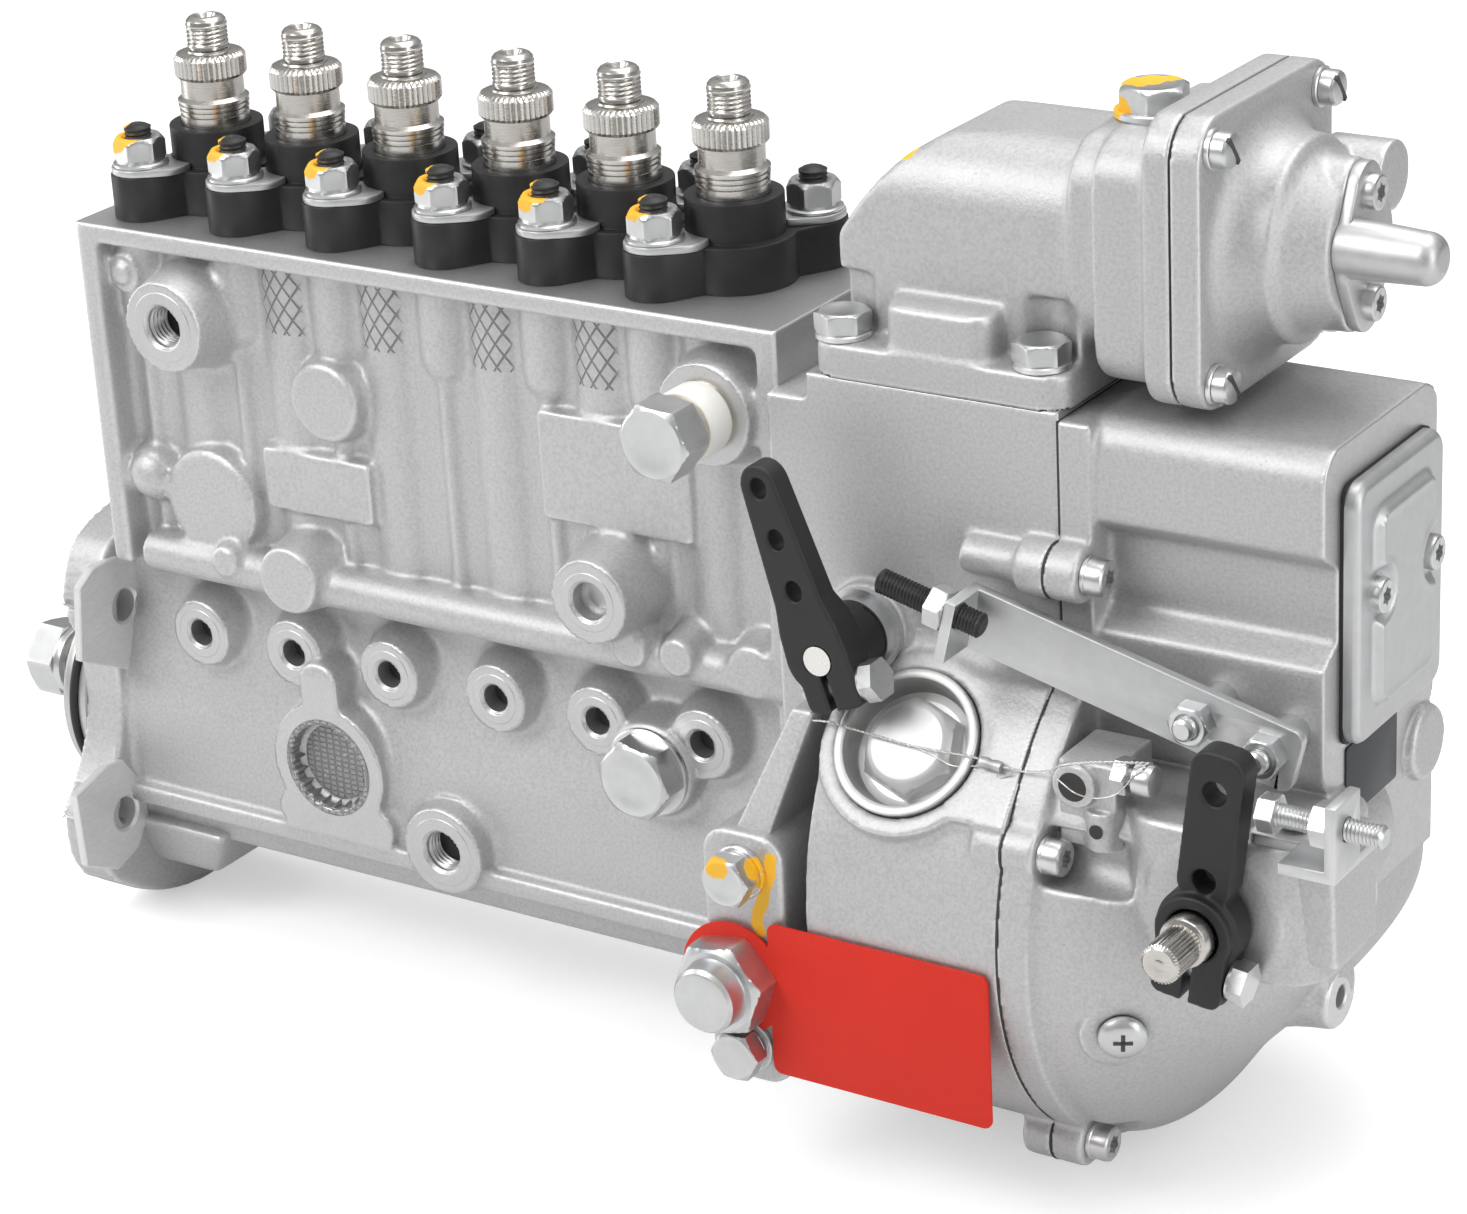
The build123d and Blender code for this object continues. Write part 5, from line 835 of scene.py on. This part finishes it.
# --- crossed slots
def cross_recess(place, direction, reach, wide, deep):
    """Two crossed tapered slots of a cross-point screw, a little above its face; in the dark finish they paint the
    shade in the recess.
    """
    d, u, v = turn_axes(direction, (0.8, 0.6, 0))
    low, top = Vector(place) - d * deep, Vector(place) + d * 0.06
    corners = ((-1, -1), (1, -1), (1, 1), (-1, 1))
    slots = []
    for a, b in ((u, v), (v, u)):
        ring = [low + a * (s * reach * 0.35) + b * (t * wide * 0.5) for s, t in corners]
        slots.append((ring + [top + a * (s * reach) + b * (t * wide) for s, t in corners], BOX_FACES))
    return gather(*slots)


# --- turned spots, bores and the feed recess
def spot_face(place, outer, bore, depth, pitch=0.0):
    """Fresh-cut face round a chamfered bore; with a pitch the bore is threaded."""
    rings = [(-0.6, outer - 0.15), (0.0, outer), (0.16, outer - 0.25), (0.18, bore + 1.0), (-0.7, bore + 0.05)]
    if pitch:
        rings += reversed(thread_rings(-depth, -0.8, bore + 0.1, pitch, 0.7))
    else:
        rings += [(-depth, bore)]
    return turned(rings + [(-depth - 0.05, 0.4)], place, FRONT, 72, closed=(False, True))


SPOT_Y, SPOT_Z, OIL_PORT, FUEL_PORT = -31.0, 35.8, (57.0, -43.0, 136.5), (136.4, -37.0, -14.0)
spots = [spot_face((x, SPOT_Y, SPOT_Z), 7.6, 4.05, 8.8) for x in ELEMENTS]
spots += [spot_face(OIL_PORT, 10.4, 6.0, 15.5, 1.5), spot_face(FUEL_PORT, 10.6, 6.0, 9.8, 1.5),
          spot_face((200.2, -44.0, 78.5), 8.6, 5.4, 5.8)]
add("spot_faces", spots, "machined", 24)
bores = [((x, SPOT_Y, SPOT_Z), 3.9, 6.2) for x in ELEMENTS] + [(OIL_PORT, 5.6, 9.0), (FUEL_PORT, 5.6, 7.0)]
add("bore_shadows", [turned([(-d + 0.3, r), (-d + 0.4, 0.3)], p, FRONT, 40) for p, r, d in bores], "bore",
    24)


def feed_recess():
    """Shallow recess of the feed pump: toothed wall and a knurled floor with a step."""
    def teeth(base, tall):
        return lambda a: base - tall * max(0.0, math.cos(20 * a)) ** 2 * (0.12 if math.cos(a) > 0.1 else 1.0)

    rings = [(0.12, 15.2), (0.2, 13.9), (-0.5, 13.4), (-0.8, teeth(13.3, 0.5)), (-4.6, teeth(13.2, 1.3)),
             (-4.75, 11.9), (-4.8, 0.5)]
    return turned(rings, (94.6, -34.5, 3.1), FRONT, 180, UP, closed=(False, True))


add("feed_recess", [feed_recess()], "recess", 24)


# --- threads, hexagons and splines of the levers
def stud_between(low, high, radius, pitch, sides=36):
    """Threaded rod with chamfered ends."""
    low, high = Vector(low), Vector(high)
    run = (high - low).length
    rings = [(0.0, radius * 0.72), (0.5, radius * 0.9)] + thread_rings(0.7, run - 0.7, radius, pitch, pitch * 0.42)
    return turned(rings + [(run - 0.4, radius * 0.9), (run, radius * 0.72)], low, high - low, sides)


BRACKET_BOLTS, STOP_Y, STOP_Z = ((406.9, 79.7), (387.5, 84.6)), -71.0, 74.0
stand_in("set_screw_thread", "set_screw", [stud_between((303.3, -60, 109.7), (333.0, -60, 102.3), 3.35, 1.0)],
         "black")
stand_in("stop_screw_thread", "stop_screw",
         [stud_between((418.4, STOP_Y, STOP_Z), (446.9, STOP_Y, STOP_Z), 2.95, 1.0),
          hex_head((414.7, STOP_Y, STOP_Z), END, 8.6, 4.6, (0, 1, 0.5)),
          hex_head((419.2, STOP_Y, STOP_Z), DRIVE, 8.6, 4.5, (0, 1, 0.5))], "zinc")
collar = [(0.0, 4.9), (0.3, 5.0), (13.6, 5.0), (13.9, 4.6)]
collars = [turned(collar, (x, -38.0, z), FRONT, 40) for x, z in BRACKET_BOLTS]
threads = [stud_between((x, -51.0, z), (x, -59.9, z), 2.95, 1.0) for x, z in BRACKET_BOLTS]
stand_in("bracket_studs_thread", "bracket_studs", collars + threads, "zinc")
TILT = Vector((math.cos(math.radians(14)), 0, -math.sin(math.radians(14))))
lock_nuts = [hex_head(Vector((321.0, -60.0, 105.3)) - TILT * 2.5, TILT, 10.0, 5.0, (0, 1, 0.3), cup=0.4),
             hex_head((429.0, STOP_Y, STOP_Z), END, 10.0, 5.0, (0, 1, 0.4), cup=0.4)]
lock_nuts += [hex_head((x, -52.0, z), FRONT, 10.0, 5.0, (1, 0, 0.5), cup=0.4) for x, z in BRACKET_BOLTS]
stand_in("lock_nuts", "bracket_nuts", lock_nuts, "zinc")


def splined(a):
    return 5.35 - 0.42 * (0.5 + 0.5 * math.cos(a * 34))


shaft = [(0.0, 0.9), (0.25, 1.5), (0.1, 2.2), (0.0, 4.2), (0.7, 4.9), (0.9, splined), (11.8, splined), (12.2, 5.2),
         (12.6, 6.3), (13.2, 6.6), (16.6, 6.6), (17.0, 6.2), (57.9, 6.95), (58.0, 6.0)]
stand_in("control_shaft_splined", "control_shaft", [turned(shaft, (399.5, -96.0, 40.5), BACK, 200)], "steel",
         30, "control_lever")
nose = [hex_head((-34.0, 0, 0), DRIVE, 22.0, 11.0, (0, 0.2, 1), cup=0.8)]
stand_in("nose_nut_hex", "nose_nut", nose, "zinc", 25, "camshaft")

COVER_SCREWS = ((420.0, 12.0, 111.5), (420.0, -19.0, 111.5), (408.8, 0.0, 207.0), (408.8, 0.0, 179.0))
pan = [screw_head(p, END, 4.6, 3.0, 2.1) for p in COVER_SCREWS]
pan += [turned([(-7.9, 2.3), (0.1, 2.3)], p, END, 20) for p in COVER_SCREWS]
stand_in("cover_screws_torx", "cover_screws", pan, "zinc")

dome_out = Vector((0.5, -0.85, -0.15)).normalized()
dome_at = Vector((375.3, -69.7, 2.8))
plug_rings = [(-9.0, 5.0), (-0.1, 5.1), (0.0, 6.0), (0.9, 6.3), (1.7, 6.1), (2.5, 5.4), (3.1, 4.3), (3.45, 3.0),
              (3.6, 1.2)]
stand_in("dome_plug_head", "dome_plug", [turned(plug_rings, dome_at, dome_out, 64)], "zinc")
add("dome_plug_slot", [cross_recess(dome_at + dome_out * 3.62, dome_out, 2.5, 0.55, 0.8)], "dark", 35)
csk = [(-4.2, 2.9), (-2.4, 3.0), (-0.2, 5.7), (0.0, 5.95), (0.12, 5.6), (0.14, 2.0)]
stand_in("angle_screw_cross", "angle_screw", [turned(csk, (417.0, -57.0, 66.4), UP, 64)], "zinc")
add("angle_screw_recess", [cross_recess((417.0, -57.0, 66.52), UP, 2.7, 0.55, 0.6)], "dark", 35)


# --- sealing wire with its lead crimp and lugs
WIRE_R, TWIST_MM, CURVE_STEPS, WIRE_SIDES = 0.2, 2.6, 14, 6


def wire(route, strands=2):
    """Fine wire of twisted strands along a smooth line through the points."""
    path = [Vector(p) for p in route]
    line = []
    for i in range(len(path) - 1):
        p0, p1, p2, p3 = path[max(i - 1, 0)], path[i], path[i + 1], path[min(i + 2, len(path) - 1)]
        for k in range(CURVE_STEPS):
            t = k / CURVE_STEPS
            line.append(0.5 * ((2 * p1) + (p2 - p0) * t + (2 * p0 - 5 * p1 + 4 * p2 - p3) * t * t
                               + (3 * p1 - p0 - 3 * p2 + p3) * t ** 3))
    line.append(path[-1])
    points, faces = [], []
    for strand in range(strands):
        start, along = len(points), 0.0
        for i, p in enumerate(line):
            ahead = (line[min(i + 1, len(line) - 1)] - line[max(i - 1, 0)]).normalized()
            along += (p - line[i - 1]).length if i else 0.0
            _, u, v = turn_axes(ahead, (0, -1, 0.02))
            phase = 2 * math.pi * (along / TWIST_MM + strand / strands)
            core = p + (u * math.cos(phase) + v * math.sin(phase)) * (WIRE_R if strands > 1 else 0.0)
            for k in range(WIRE_SIDES):
                a = 2 * math.pi * k / WIRE_SIDES
                points.append(core + (u * math.cos(a) + v * math.sin(a)) * WIRE_R)
        for i in range(start, start + (len(line) - 1) * WIRE_SIDES, WIRE_SIDES):
            for k in range(WIRE_SIDES):
                n = (k + 1) % WIRE_SIDES
                faces.append((i + k, i + n, i + WIRE_SIDES + n, i + WIRE_SIDES + k))
    return points, faces


left_run = [(280.5, -61.9, 67.2), (287.9, -62.3, 68.2), (294.0, -62.6, 67.9), (302.8, -62.5, 67.2),
            (312.0, -62.5, 66.6), (321.8, -62.6, 66.9), (329.0, -63.0, 67.5), (332.6, -63.2, 67.4)]
loop_run = [(313.0, -62.5, 66.6), (319.0, -62.7, 65.2), (324.0, -62.9, 63.8), (329.0, -63.1, 64.6),
            (332.6, -63.3, 65.6)]
tail_run = [(331.0, -63.2, 64.4), (334.5, -63.5, 63.4), (337.8, -63.6, 63.2), (340.4, -63.5, 64.4),
            (342.2, -63.3, 65.6)]
right_run = [(339.6, -63.3, 66.7), (345.5, -63.2, 66.6), (352.4, -63.8, 68.4), (358.0, -66.9, 72.6),
             (363.8, -67.0, 74.4), (370.0, -65.0, 75.0), (375.5, -62.6, 75.0), (378.3, -60.5, 74.6)]
down_run = [(353.0, -64.2, 68.4), (358.0, -67.6, 68.4), (363.0, -68.6, 66.6), (368.5, -67.6, 66.0),
            (373.0, -65.8, 67.6), (376.2, -64.6, 71.6)]
add("seal_wire", [wire(left_run), wire(loop_run, 1), wire(tail_run, 1), wire(right_run), wire(down_run, 1)],
    "wire", 60)
crimp = [(-3.2, 0.6), (-3.0, 1.4), (-1.2, 1.55), (0.0, 1.25), (1.2, 1.55), (3.0, 1.4), (3.2, 0.6)]
add("seal_crimp", [turned(crimp, (336.0, -63.3, 66.6), (1, 0, -0.08), 28)], "lead", 50)


# --- pressed end cover
def pressed_cover(middle, half, corner, low, flange, rise, screws):
    """Pressed sheet cover: rounded rim, raised panel, scalloped clear of its screws."""
    around, inward, lip_start, lip_wide = 220, 34, 1.2, 2.0
    points, faces = [], []

    def outline(k, shrink):
        """Point of the rounded rectangle, shrunk evenly."""
        hy, hz = half[0] - shrink, half[1] - shrink
        r = max(corner - shrink, 0.8)
        straight = [2 * (hz - r), 2 * (hy - r), 2 * (hz - r), 2 * (hy - r)]
        arc = math.pi / 2 * r
        walk = (k / around) * (sum(straight) + 4 * arc)
        centres = [(hy - r, hz - r), (-(hy - r), hz - r), (-(hy - r), -(hz - r)), (hy - r, -(hz - r))]
        for side in range(4):
            ang = side * math.pi / 2
            along = (-math.sin(ang), math.cos(ang))
            out = (math.cos(ang), math.sin(ang))
            if walk <= straight[side]:
                cy, cz = centres[side]
                run = walk - straight[side]
                return cy + out[0] * r + along[0] * run, cz + out[1] * r + along[1] * run
            walk -= straight[side]
            if walk <= arc:
                turn = ang + walk / r
                cy, cz = centres[side]
                return cy + math.cos(turn) * r, cz + math.sin(turn) * r
            walk -= arc
        return half[0] - shrink, 0.0

    def height(y, z, shrink):
        inner_y, inner_z = half[0] - 9.0 - abs(y), half[1] - 8.5 - abs(z)
        wall = min(inner_y, inner_z)
        if inner_y < 5.0 and inner_z < 5.0:
            wall = 5.0 - math.hypot(5.0 - inner_y, 5.0 - inner_z)
        for sy, sz in screws:
            wall = min(wall, math.hypot(y - sy, z - sz) - 7.0)
        up = max(0.0, min(1.0, wall / 2.6 + 0.5))
        up = up * up * (3 - 2 * up)
        lip = max(0.0, 1.0 - max(0.0, wall - lip_start) / lip_wide) * 0.30 * up
        edge = 1.0 - (1.0 - min(1.0, shrink / 2.2)) ** 2
        return flange - 1.9 * (1.0 - edge) + (rise * 0.80 + lip) * up

    levels = [0.0] + [0.25 * k for k in range(1, 12)]
    levels += [2.75 + (half[0] - 3.2) * (k / inward) for k in range(1, inward + 1)]
    for y, z in (outline(k, 0.0) for k in range(around)):
        points.append((low, middle[0] + y, middle[1] + z))
    for shrink in levels:
        for k in range(around):
            y, z = outline(k, min(shrink, half[0] - 0.3))
            points.append((height(y, z, shrink), middle[0] + y, middle[1] + z))
    rows = len(levels) + 1
    for i in range(rows - 1):
        for k in range(around):
            n = (k + 1) % around
            faces.append((i * around + k, i * around + n, (i + 1) * around + n, (i + 1) * around + k))
    last = (rows - 1) * around
    faces.append(tuple(last + k for k in range(around)))
    return points, faces


cover = pressed_cover((-3.5, 107.5), (25.5, 34.5), 6.0, 416.0, 420.0, 2.6, [(15.5, 4.0), (-15.5, 4.0)])
stand_in("end_cover_pressed", "end_cover", [cover], "zinc_sheet", 40)


# --- pieces with broken edges
EASED_FROM_DEG, EASED_SHARP_DEG, SAME_PLANE_DEG = 34, 38, 0.8


def eased(node, look, width=0.4, body="pump", reshape=None):
    """A node's own shape with its sharp edges broken, and reshaped where the real piece is slimmer."""
    name = node + "_eased"
    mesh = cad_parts[node].data.copy()
    work = bmesh.new()
    work.from_mesh(mesh)
    bmesh.ops.remove_doubles(work, verts=work.verts, dist=CAD_WELD)
    bmesh.ops.dissolve_limit(work, angle_limit=math.radians(SAME_PLANE_DEG), verts=work.verts, edges=work.edges)
    if reshape:
        for vert in work.verts:
            vert.co = Vector(reshape(*(c * IN_MM for c in vert.co))) * MM
    work.to_mesh(mesh)
    work.free()
    done = baked(name, mesh, "BEVEL", {"width": width * MM, "segments": 2, "limit_method": "ANGLE",
                                       "angle_limit": math.radians(EASED_FROM_DEG), "use_clamp_overlap": False})
    done.name = name
    shade = bmesh.new()
    shade.from_mesh(done)
    smooth_but(shade, EASED_SHARP_DEG)
    shade.to_mesh(done)
    shade.free()
    done.materials.clear()
    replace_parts(piece(name, done, look, body), node)


LEVER_TILT, STOP_AXIS, ARM_START = math.radians(18.9), np.array((288.5, 87.5)), 8.0


def slim_lever(p):
    """Stop lever: the arm is thinner and a little narrower than its hub."""
    p = p.copy()
    up = np.array((-math.sin(LEVER_TILT), math.cos(LEVER_TILT)))
    side = np.array((up[1], -up[0]))
    flat = p[:, (0, 2)] - STOP_AXIS
    along, across = flat @ up, flat @ side
    fade = np.clip((along - ARM_START) / 8.0, 0.0, 1.0)
    across = across * (1.0 - 0.14 * fade)
    place = np.outer(along, up) + np.outer(across, side) + STOP_AXIS
    p[:, 0], p[:, 2] = place[:, 0], place[:, 1]
    p[:, 1] = np.where(along > ARM_START, np.minimum(p[:, 1], -58.5 - 2.8 * fade), p[:, 1])
    return p


TUBE_START, TUBE_AXIS, TUBE_SHARE = 409.2, (-8.0, 193.0), 0.88


def slim_tube(x, y, z):
    """Cap tube: the tube is slimmer than its socket."""
    if x > TUBE_START:
        y, z = (middle + (c - middle) * TUBE_SHARE for c, middle in zip((y, z), TUBE_AXIS))
    return x, y, z


for lever, voxel, reshape in (("stop_lever", 0.42, slim_lever), ("control_lever", 0.45, None)):
    cast_skin(lever, lever + "_forged", "black_lever", voxel, 3, body=lever, reshape=reshape)
eased("long_bracket", "zinc_sheet", 0.35)
eased("angle_bracket", "zinc_sheet", 0.45)
eased("clamp_plates", "zinc_sheet", 0.35)
eased("cap_tube", "zinc_tube", 0.5, reshape=slim_tube)
eased("flange_sleeves", "black", 0.45)
eased("red_tag", "red", 0.2)
eased("data_plate", "label", 0.15)
eased("vent_spacer", "white", 0.5)
eased("nose_washer", "zinc", 0.3, "camshaft")
eased("drive_end_cover", "machined", 0.4)


# --- joint lines
SEAM_HALF, SEAM_DEEP, SEAM_MAX_Y = 0.28, 3.0, 77.47


def seam(node, axis, value, inset, name):
    """Dark joint line round the outer outline of a node's flat at that plane."""
    work = bmesh.new()
    work.from_mesh(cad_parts[node].data)
    bmesh.ops.remove_doubles(work, verts=work.verts, dist=CAD_WELD)
    on_plane = {v for v in work.verts if abs(v.co[axis] * IN_MM - value) < 0.02}

    def lies_flat(face):
        return all(v in on_plane for v in face.verts)

    rim = [e for e in work.edges if e.verts[0] in on_plane and e.verts[1] in on_plane
           and sum(lies_flat(f) for f in e.link_faces) == 1]
    follow = {}
    for e in rim:
        for a, b in ((e.verts[0], e.verts[1]), (e.verts[1], e.verts[0])):
            follow.setdefault(a, []).append(b)
    loops, used = [], set()
    for start in follow:
        if start in used:
            continue
        loop, here = [], start
        while here is not None:
            used.add(here)
            loop.append(here.co * IN_MM)
            here = next((v for v in follow[here] if v not in used), None)
        loops.append(loop)
    outer = max(loops, key=lambda loop: max(p[2] for p in loop) - min(p[2] for p in loop))
    work.free()
    across, up = (k for k in range(3) if k != axis)
    count = len(outer)
    area = sum(outer[i - 1][across] * outer[i][up] - outer[i][across] * outer[i - 1][up] for i in range(count))
    sign = 1.0 if area > 0 else -1.0
    profile = ((-SEAM_DEEP, -SEAM_HALF), (-inset, -SEAM_HALF), (-inset, SEAM_HALF), (-SEAM_DEEP, SEAM_HALF))
    ring, faces = [], []
    for i, p in enumerate(outer):
        a, b = outer[i - 1], outer[(i + 1) % count]
        t = Vector((b[across] - a[across], b[up] - a[up])).normalized()
        for lift, side in profile:
            q = Vector(p)
            q[across] += t.y * lift * sign
            q[up] -= t.x * lift * sign
            q[axis] = value + side
            q[1] = min(q[1], SEAM_MAX_Y)
            ring.append(q)
    for i in range(count):
        n = (i + 1) % count
        faces += [(i * 4 + k, i * 4 + k + 1, n * 4 + k + 1, n * 4 + k) for k in range(3)]
    add(name, [(ring, faces)], "gap", 60)


seam("governor_cover", 0, GOVERNOR_JOINT_X, -0.05, "governor_seam")
seam("boost_body", 2, BASE_Z, 0.25, "boost_base_seam")


# --- cast lumps that carry the sealing wire
def wedge(bottom, top, low_z, high_z):
    """Six-sided lump between two rectangles (x0, x1, y0, y1) at two heights."""
    points = [(x, y, z) for (x0, x1, y0, y1), z in ((bottom, low_z), (top, high_z))
              for x, y in ((x0, y0), (x1, y0), (x1, y1), (x0, y1))]
    return points, BOX_FACES


def lump(name, parts, voxel, rounds, look="cast_governor"):
    """Cast lump with rounded edges, grown from simple parts."""
    cast_skin(None, name, look, voxel, rounds, shape=mesh_of(name + "_rough", *gather(*parts)))


EYELET_Y, EYELET_Z, SCREW_Y, SCREW_Z = -55.0, 67.2, -60.5, 70.0
boss_plan = (355.5, 371.5, -64.0, -44.0)
lump("seal_web", [wedge((262.5, 273.5, -75.5, -38.5), (276.5, 283.0, -62.5, -38.5), 33.0, 70.0)], 0.6, 6)
lump("screw_boss", [wedge(boss_plan, boss_plan, 50.0, 73.0),
                    turned([(0.0, 5.2), (10.5, 5.2)], (367.0, -61.0, 50.0), UP, 48),
                    turned([(0.0, 6.0), (12.0, 6.0)], (361.0, EYELET_Y, EYELET_Z), FRONT, 48)], 0.55, 4)
# Dark discs in the bore_shadow finish: painted shade where the drilled holes would be.
add("boss_hole_shadows", [turned([(0.0, 3.9), (0.1, 0.2)], (361.0, -67.05, EYELET_Z), FRONT, 40),
                   turned([(0.0, 1.9), (0.1, 0.2)], (367.0, -66.3, 55.8), FRONT, 32)], "bore", 35)
capped = [(0.0, 3.6), (0.4, 4.1), (4.4, 4.2), (5.2, 3.9), (5.6, 3.1), (5.7, 1.2)]
add("sealed_screw", [hex_head((370.5, SCREW_Y, SCREW_Z), END, 8.6, 3.8, (0, 1, 0.4)),
                     turned([(0.0, 2.4), (10.0, 2.4)], (366.0, SCREW_Y, SCREW_Z), END, 32),
                     turned(capped, (375.4, SCREW_Y, SCREW_Z), END, 48)], "zinc")
add("seal_knots", [wire([(281.2, -62.4, 66.0), (280.0, -63.0, 66.6), (279.2, -62.9, 67.6), (280.0, -62.7, 68.4),
                         (281.4, -62.6, 68.0), (281.9, -62.6, 67.2)]),
                   wire([(376.0, -64.6, 72.0), (378.2, -63.0, 73.6), (378.6, -60.5, 74.5), (378.4, -57.6, 73.2)])],
    "wire", 60)


# --- back of the drive flange
def ear_pad(outline, hole, hole_r):
    """Raised machined pad of a flange ear round its bolt hole; corners are (y, z) in mm."""
    def reach(angle):
        dy, dz = math.sin(angle), math.cos(angle)
        best = 60.0
        for (ay, az), (by, bz) in zip(outline, outline[1:] + outline[:1]):
            ey, ez = by - ay, bz - az
            cross = dy * ez - dz * ey
            if abs(cross) > 1e-9:
                t = ((ay - hole[0]) * ez - (az - hole[1]) * ey) / cross
                s = ((ay - hole[0]) * dz - (az - hole[1]) * dy) / cross
                if t > 0 and -1e-6 <= s <= 1 + 1e-6:
                    best = min(best, t)
        return best

    rings = [(-1.0, reach), (0.9, reach), (1.3, lambda a: reach(a) - 0.45), (1.35, hole_r + 0.9), (0.5, hole_r + 0.1),
             (-9.0, hole_r), (-9.1, 0.3)]
    return turned(rings, (14.0, hole[0], hole[1]), END, 144, UP, closed=(False, True))


upper_pad = [(-36, 45.5), (-34, 50), (-26, 54), (-15.6, 54), (-9, 50), (-6, 27.4), (-26, 17)]
lower_pad = [(-32, -9), (-39, -10), (-47, -21), (-47.5, -32), (-41, -41), (-31.7, -44), (-18, -37), (-17, -13)]
add("flange_ear_pads", [ear_pad(upper_pad, (-27.4, 37.6), 5.0), ear_pad(lower_pad, (-37.6, -27.4), 5.0)], "pad",
    30)
lump("flange_foot", [wedge((11.0, 38.0, -25.0, 25.0), (11.0, 47.0, -31.0, 31.0), -49.0, -32.0)], 0.9, 26, "cast")


# --- lumps on the governor cover
lump("bracket_rest", [wedge((404.0, 430.0, -62.0, -38.0), (405.0, 430.0, -64.5, -38.0), 30.0, 61.4)], 0.7, 10)


def eyed_boss(y, z, low, high, radius, hole):
    """Round boss along the pump with a drilled eye."""
    run = high - low
    rings = [(0.0, radius + 0.6), (run - 0.8, radius), (run, radius - 0.8), (run, hole + 0.5), (run - 0.5, hole),
             (run - 7.0, hole), (run - 7.0, 0.4)]
    return turned(rings, (low, y, z), END, 64, closed=(False, True))


add("cover_end_eyes", [eyed_boss(-23.7, 29.0, 398.0, 420.0, 8.2, 3.0), eyed_boss(-20.0, -1.0, 396.0, 412.0, 8.6, 3.0)],
    "cast_governor", 30)


# --- studio
def studio():
    """White paper, a soft sky, four lamps and the camera."""
    scene = bpy.context.scene
    world = bpy.data.worlds.new("studio")
    scene.world = world
    sky = Nodes(world)
    seen = sky.node("ShaderNodeLightPath", {}, (), "Is Camera Ray").most(
        sky.node("ShaderNodeLightPath", {}, (), "Is Transmission Ray"))
    up = sky.node("ShaderNodeSeparateXYZ", {}, (sky.node("ShaderNodeTexCoord", {}, (), "Generated"),), "Z")
    soft = sky.node("ShaderNodeBackground", {}, {"Strength": up.step(-0.25, 0.85, 0.24, 0.72)})
    white = sky.node("ShaderNodeBackground", {}, {"Color": (1.0, 1.0, 1.0)})
    sky.node("ShaderNodeOutputWorld", {}, (sky.node("ShaderNodeMixShader", {}, (seen, soft, white)),))

    def lamp(name, place, aim, size, watts):
        light = bpy.data.lights.new(name, "AREA")
        light.shape = "RECTANGLE"
        light.size, light.size_y = size
        light.energy = watts
        thing = placed(name, light)
        thing.location = place
        thing.rotation_euler = (Vector(aim) - Vector(place)).to_track_quat("-Z", "Y").to_euler()

    middle = (0.2, 0.0, 0.08)
    lamp("key_softbox", (-0.35, -1.1, 1.15), middle, (0.9, 0.9), 14.0)
    lamp("top_softbox", (0.35, 0.25, 1.35), middle, (1.3, 0.9), 10.8)
    lamp("right_strip", (1.35, -0.25, 0.45), (0.3, 0.0, 0.08), (0.35, 1.0), 3.7)
    lamp("left_strip", (-0.95, -0.25, 0.35), (0.1, 0.0, 0.08), (0.35, 0.9), 3.0)

    low = cad_box[0][2]
    floor_mesh = bpy.data.meshes.new("floor")
    floor_mesh.from_pydata([(-4, -4, low), (4, -4, low), (4, 4, low), (-4, 4, low)], [], [(0, 1, 2, 3)])
    floor = placed("floor", floor_mesh)
    paper = bpy.data.materials.new("white_paper")
    sheet = Nodes(paper)
    matt = sheet.node("ShaderNodeBsdfDiffuse", {}, {"Color": (0.80, 0.80, 0.80)})
    lit = sheet.node("ShaderNodeLightPath", {}, (), "Is Camera Ray") * 0.42
    glow = sheet.node("ShaderNodeEmission", {}, {"Color": (1.0, 1.0, 1.0), "Strength": lit})
    sheet.node("ShaderNodeOutputMaterial", {}, (sheet.node("ShaderNodeAddShader", {}, (matt, glow)),))
    floor_mesh.materials.append(paper)

    camera = bpy.data.cameras.new("camera")
    camera.sensor_width = 36.0
    camera.lens = 99.3
    camera.clip_end = 20.0
    view = placed("camera", camera)
    right, down, ahead = (Vector(v) for v in ((0.838288, 0.542713, -0.052295), (0.168853, -0.349615, -0.921552),
                                              (-0.518422, 0.763696, -0.384717)))
    turn = Matrix((right, -down, -ahead)).transposed().to_4x4()
    view.matrix_world = Matrix.Translation((0.8008, -0.8588, 0.4964)) @ turn
    scene.camera = view
    scene.view_settings.view_transform = "Standard"


studio()
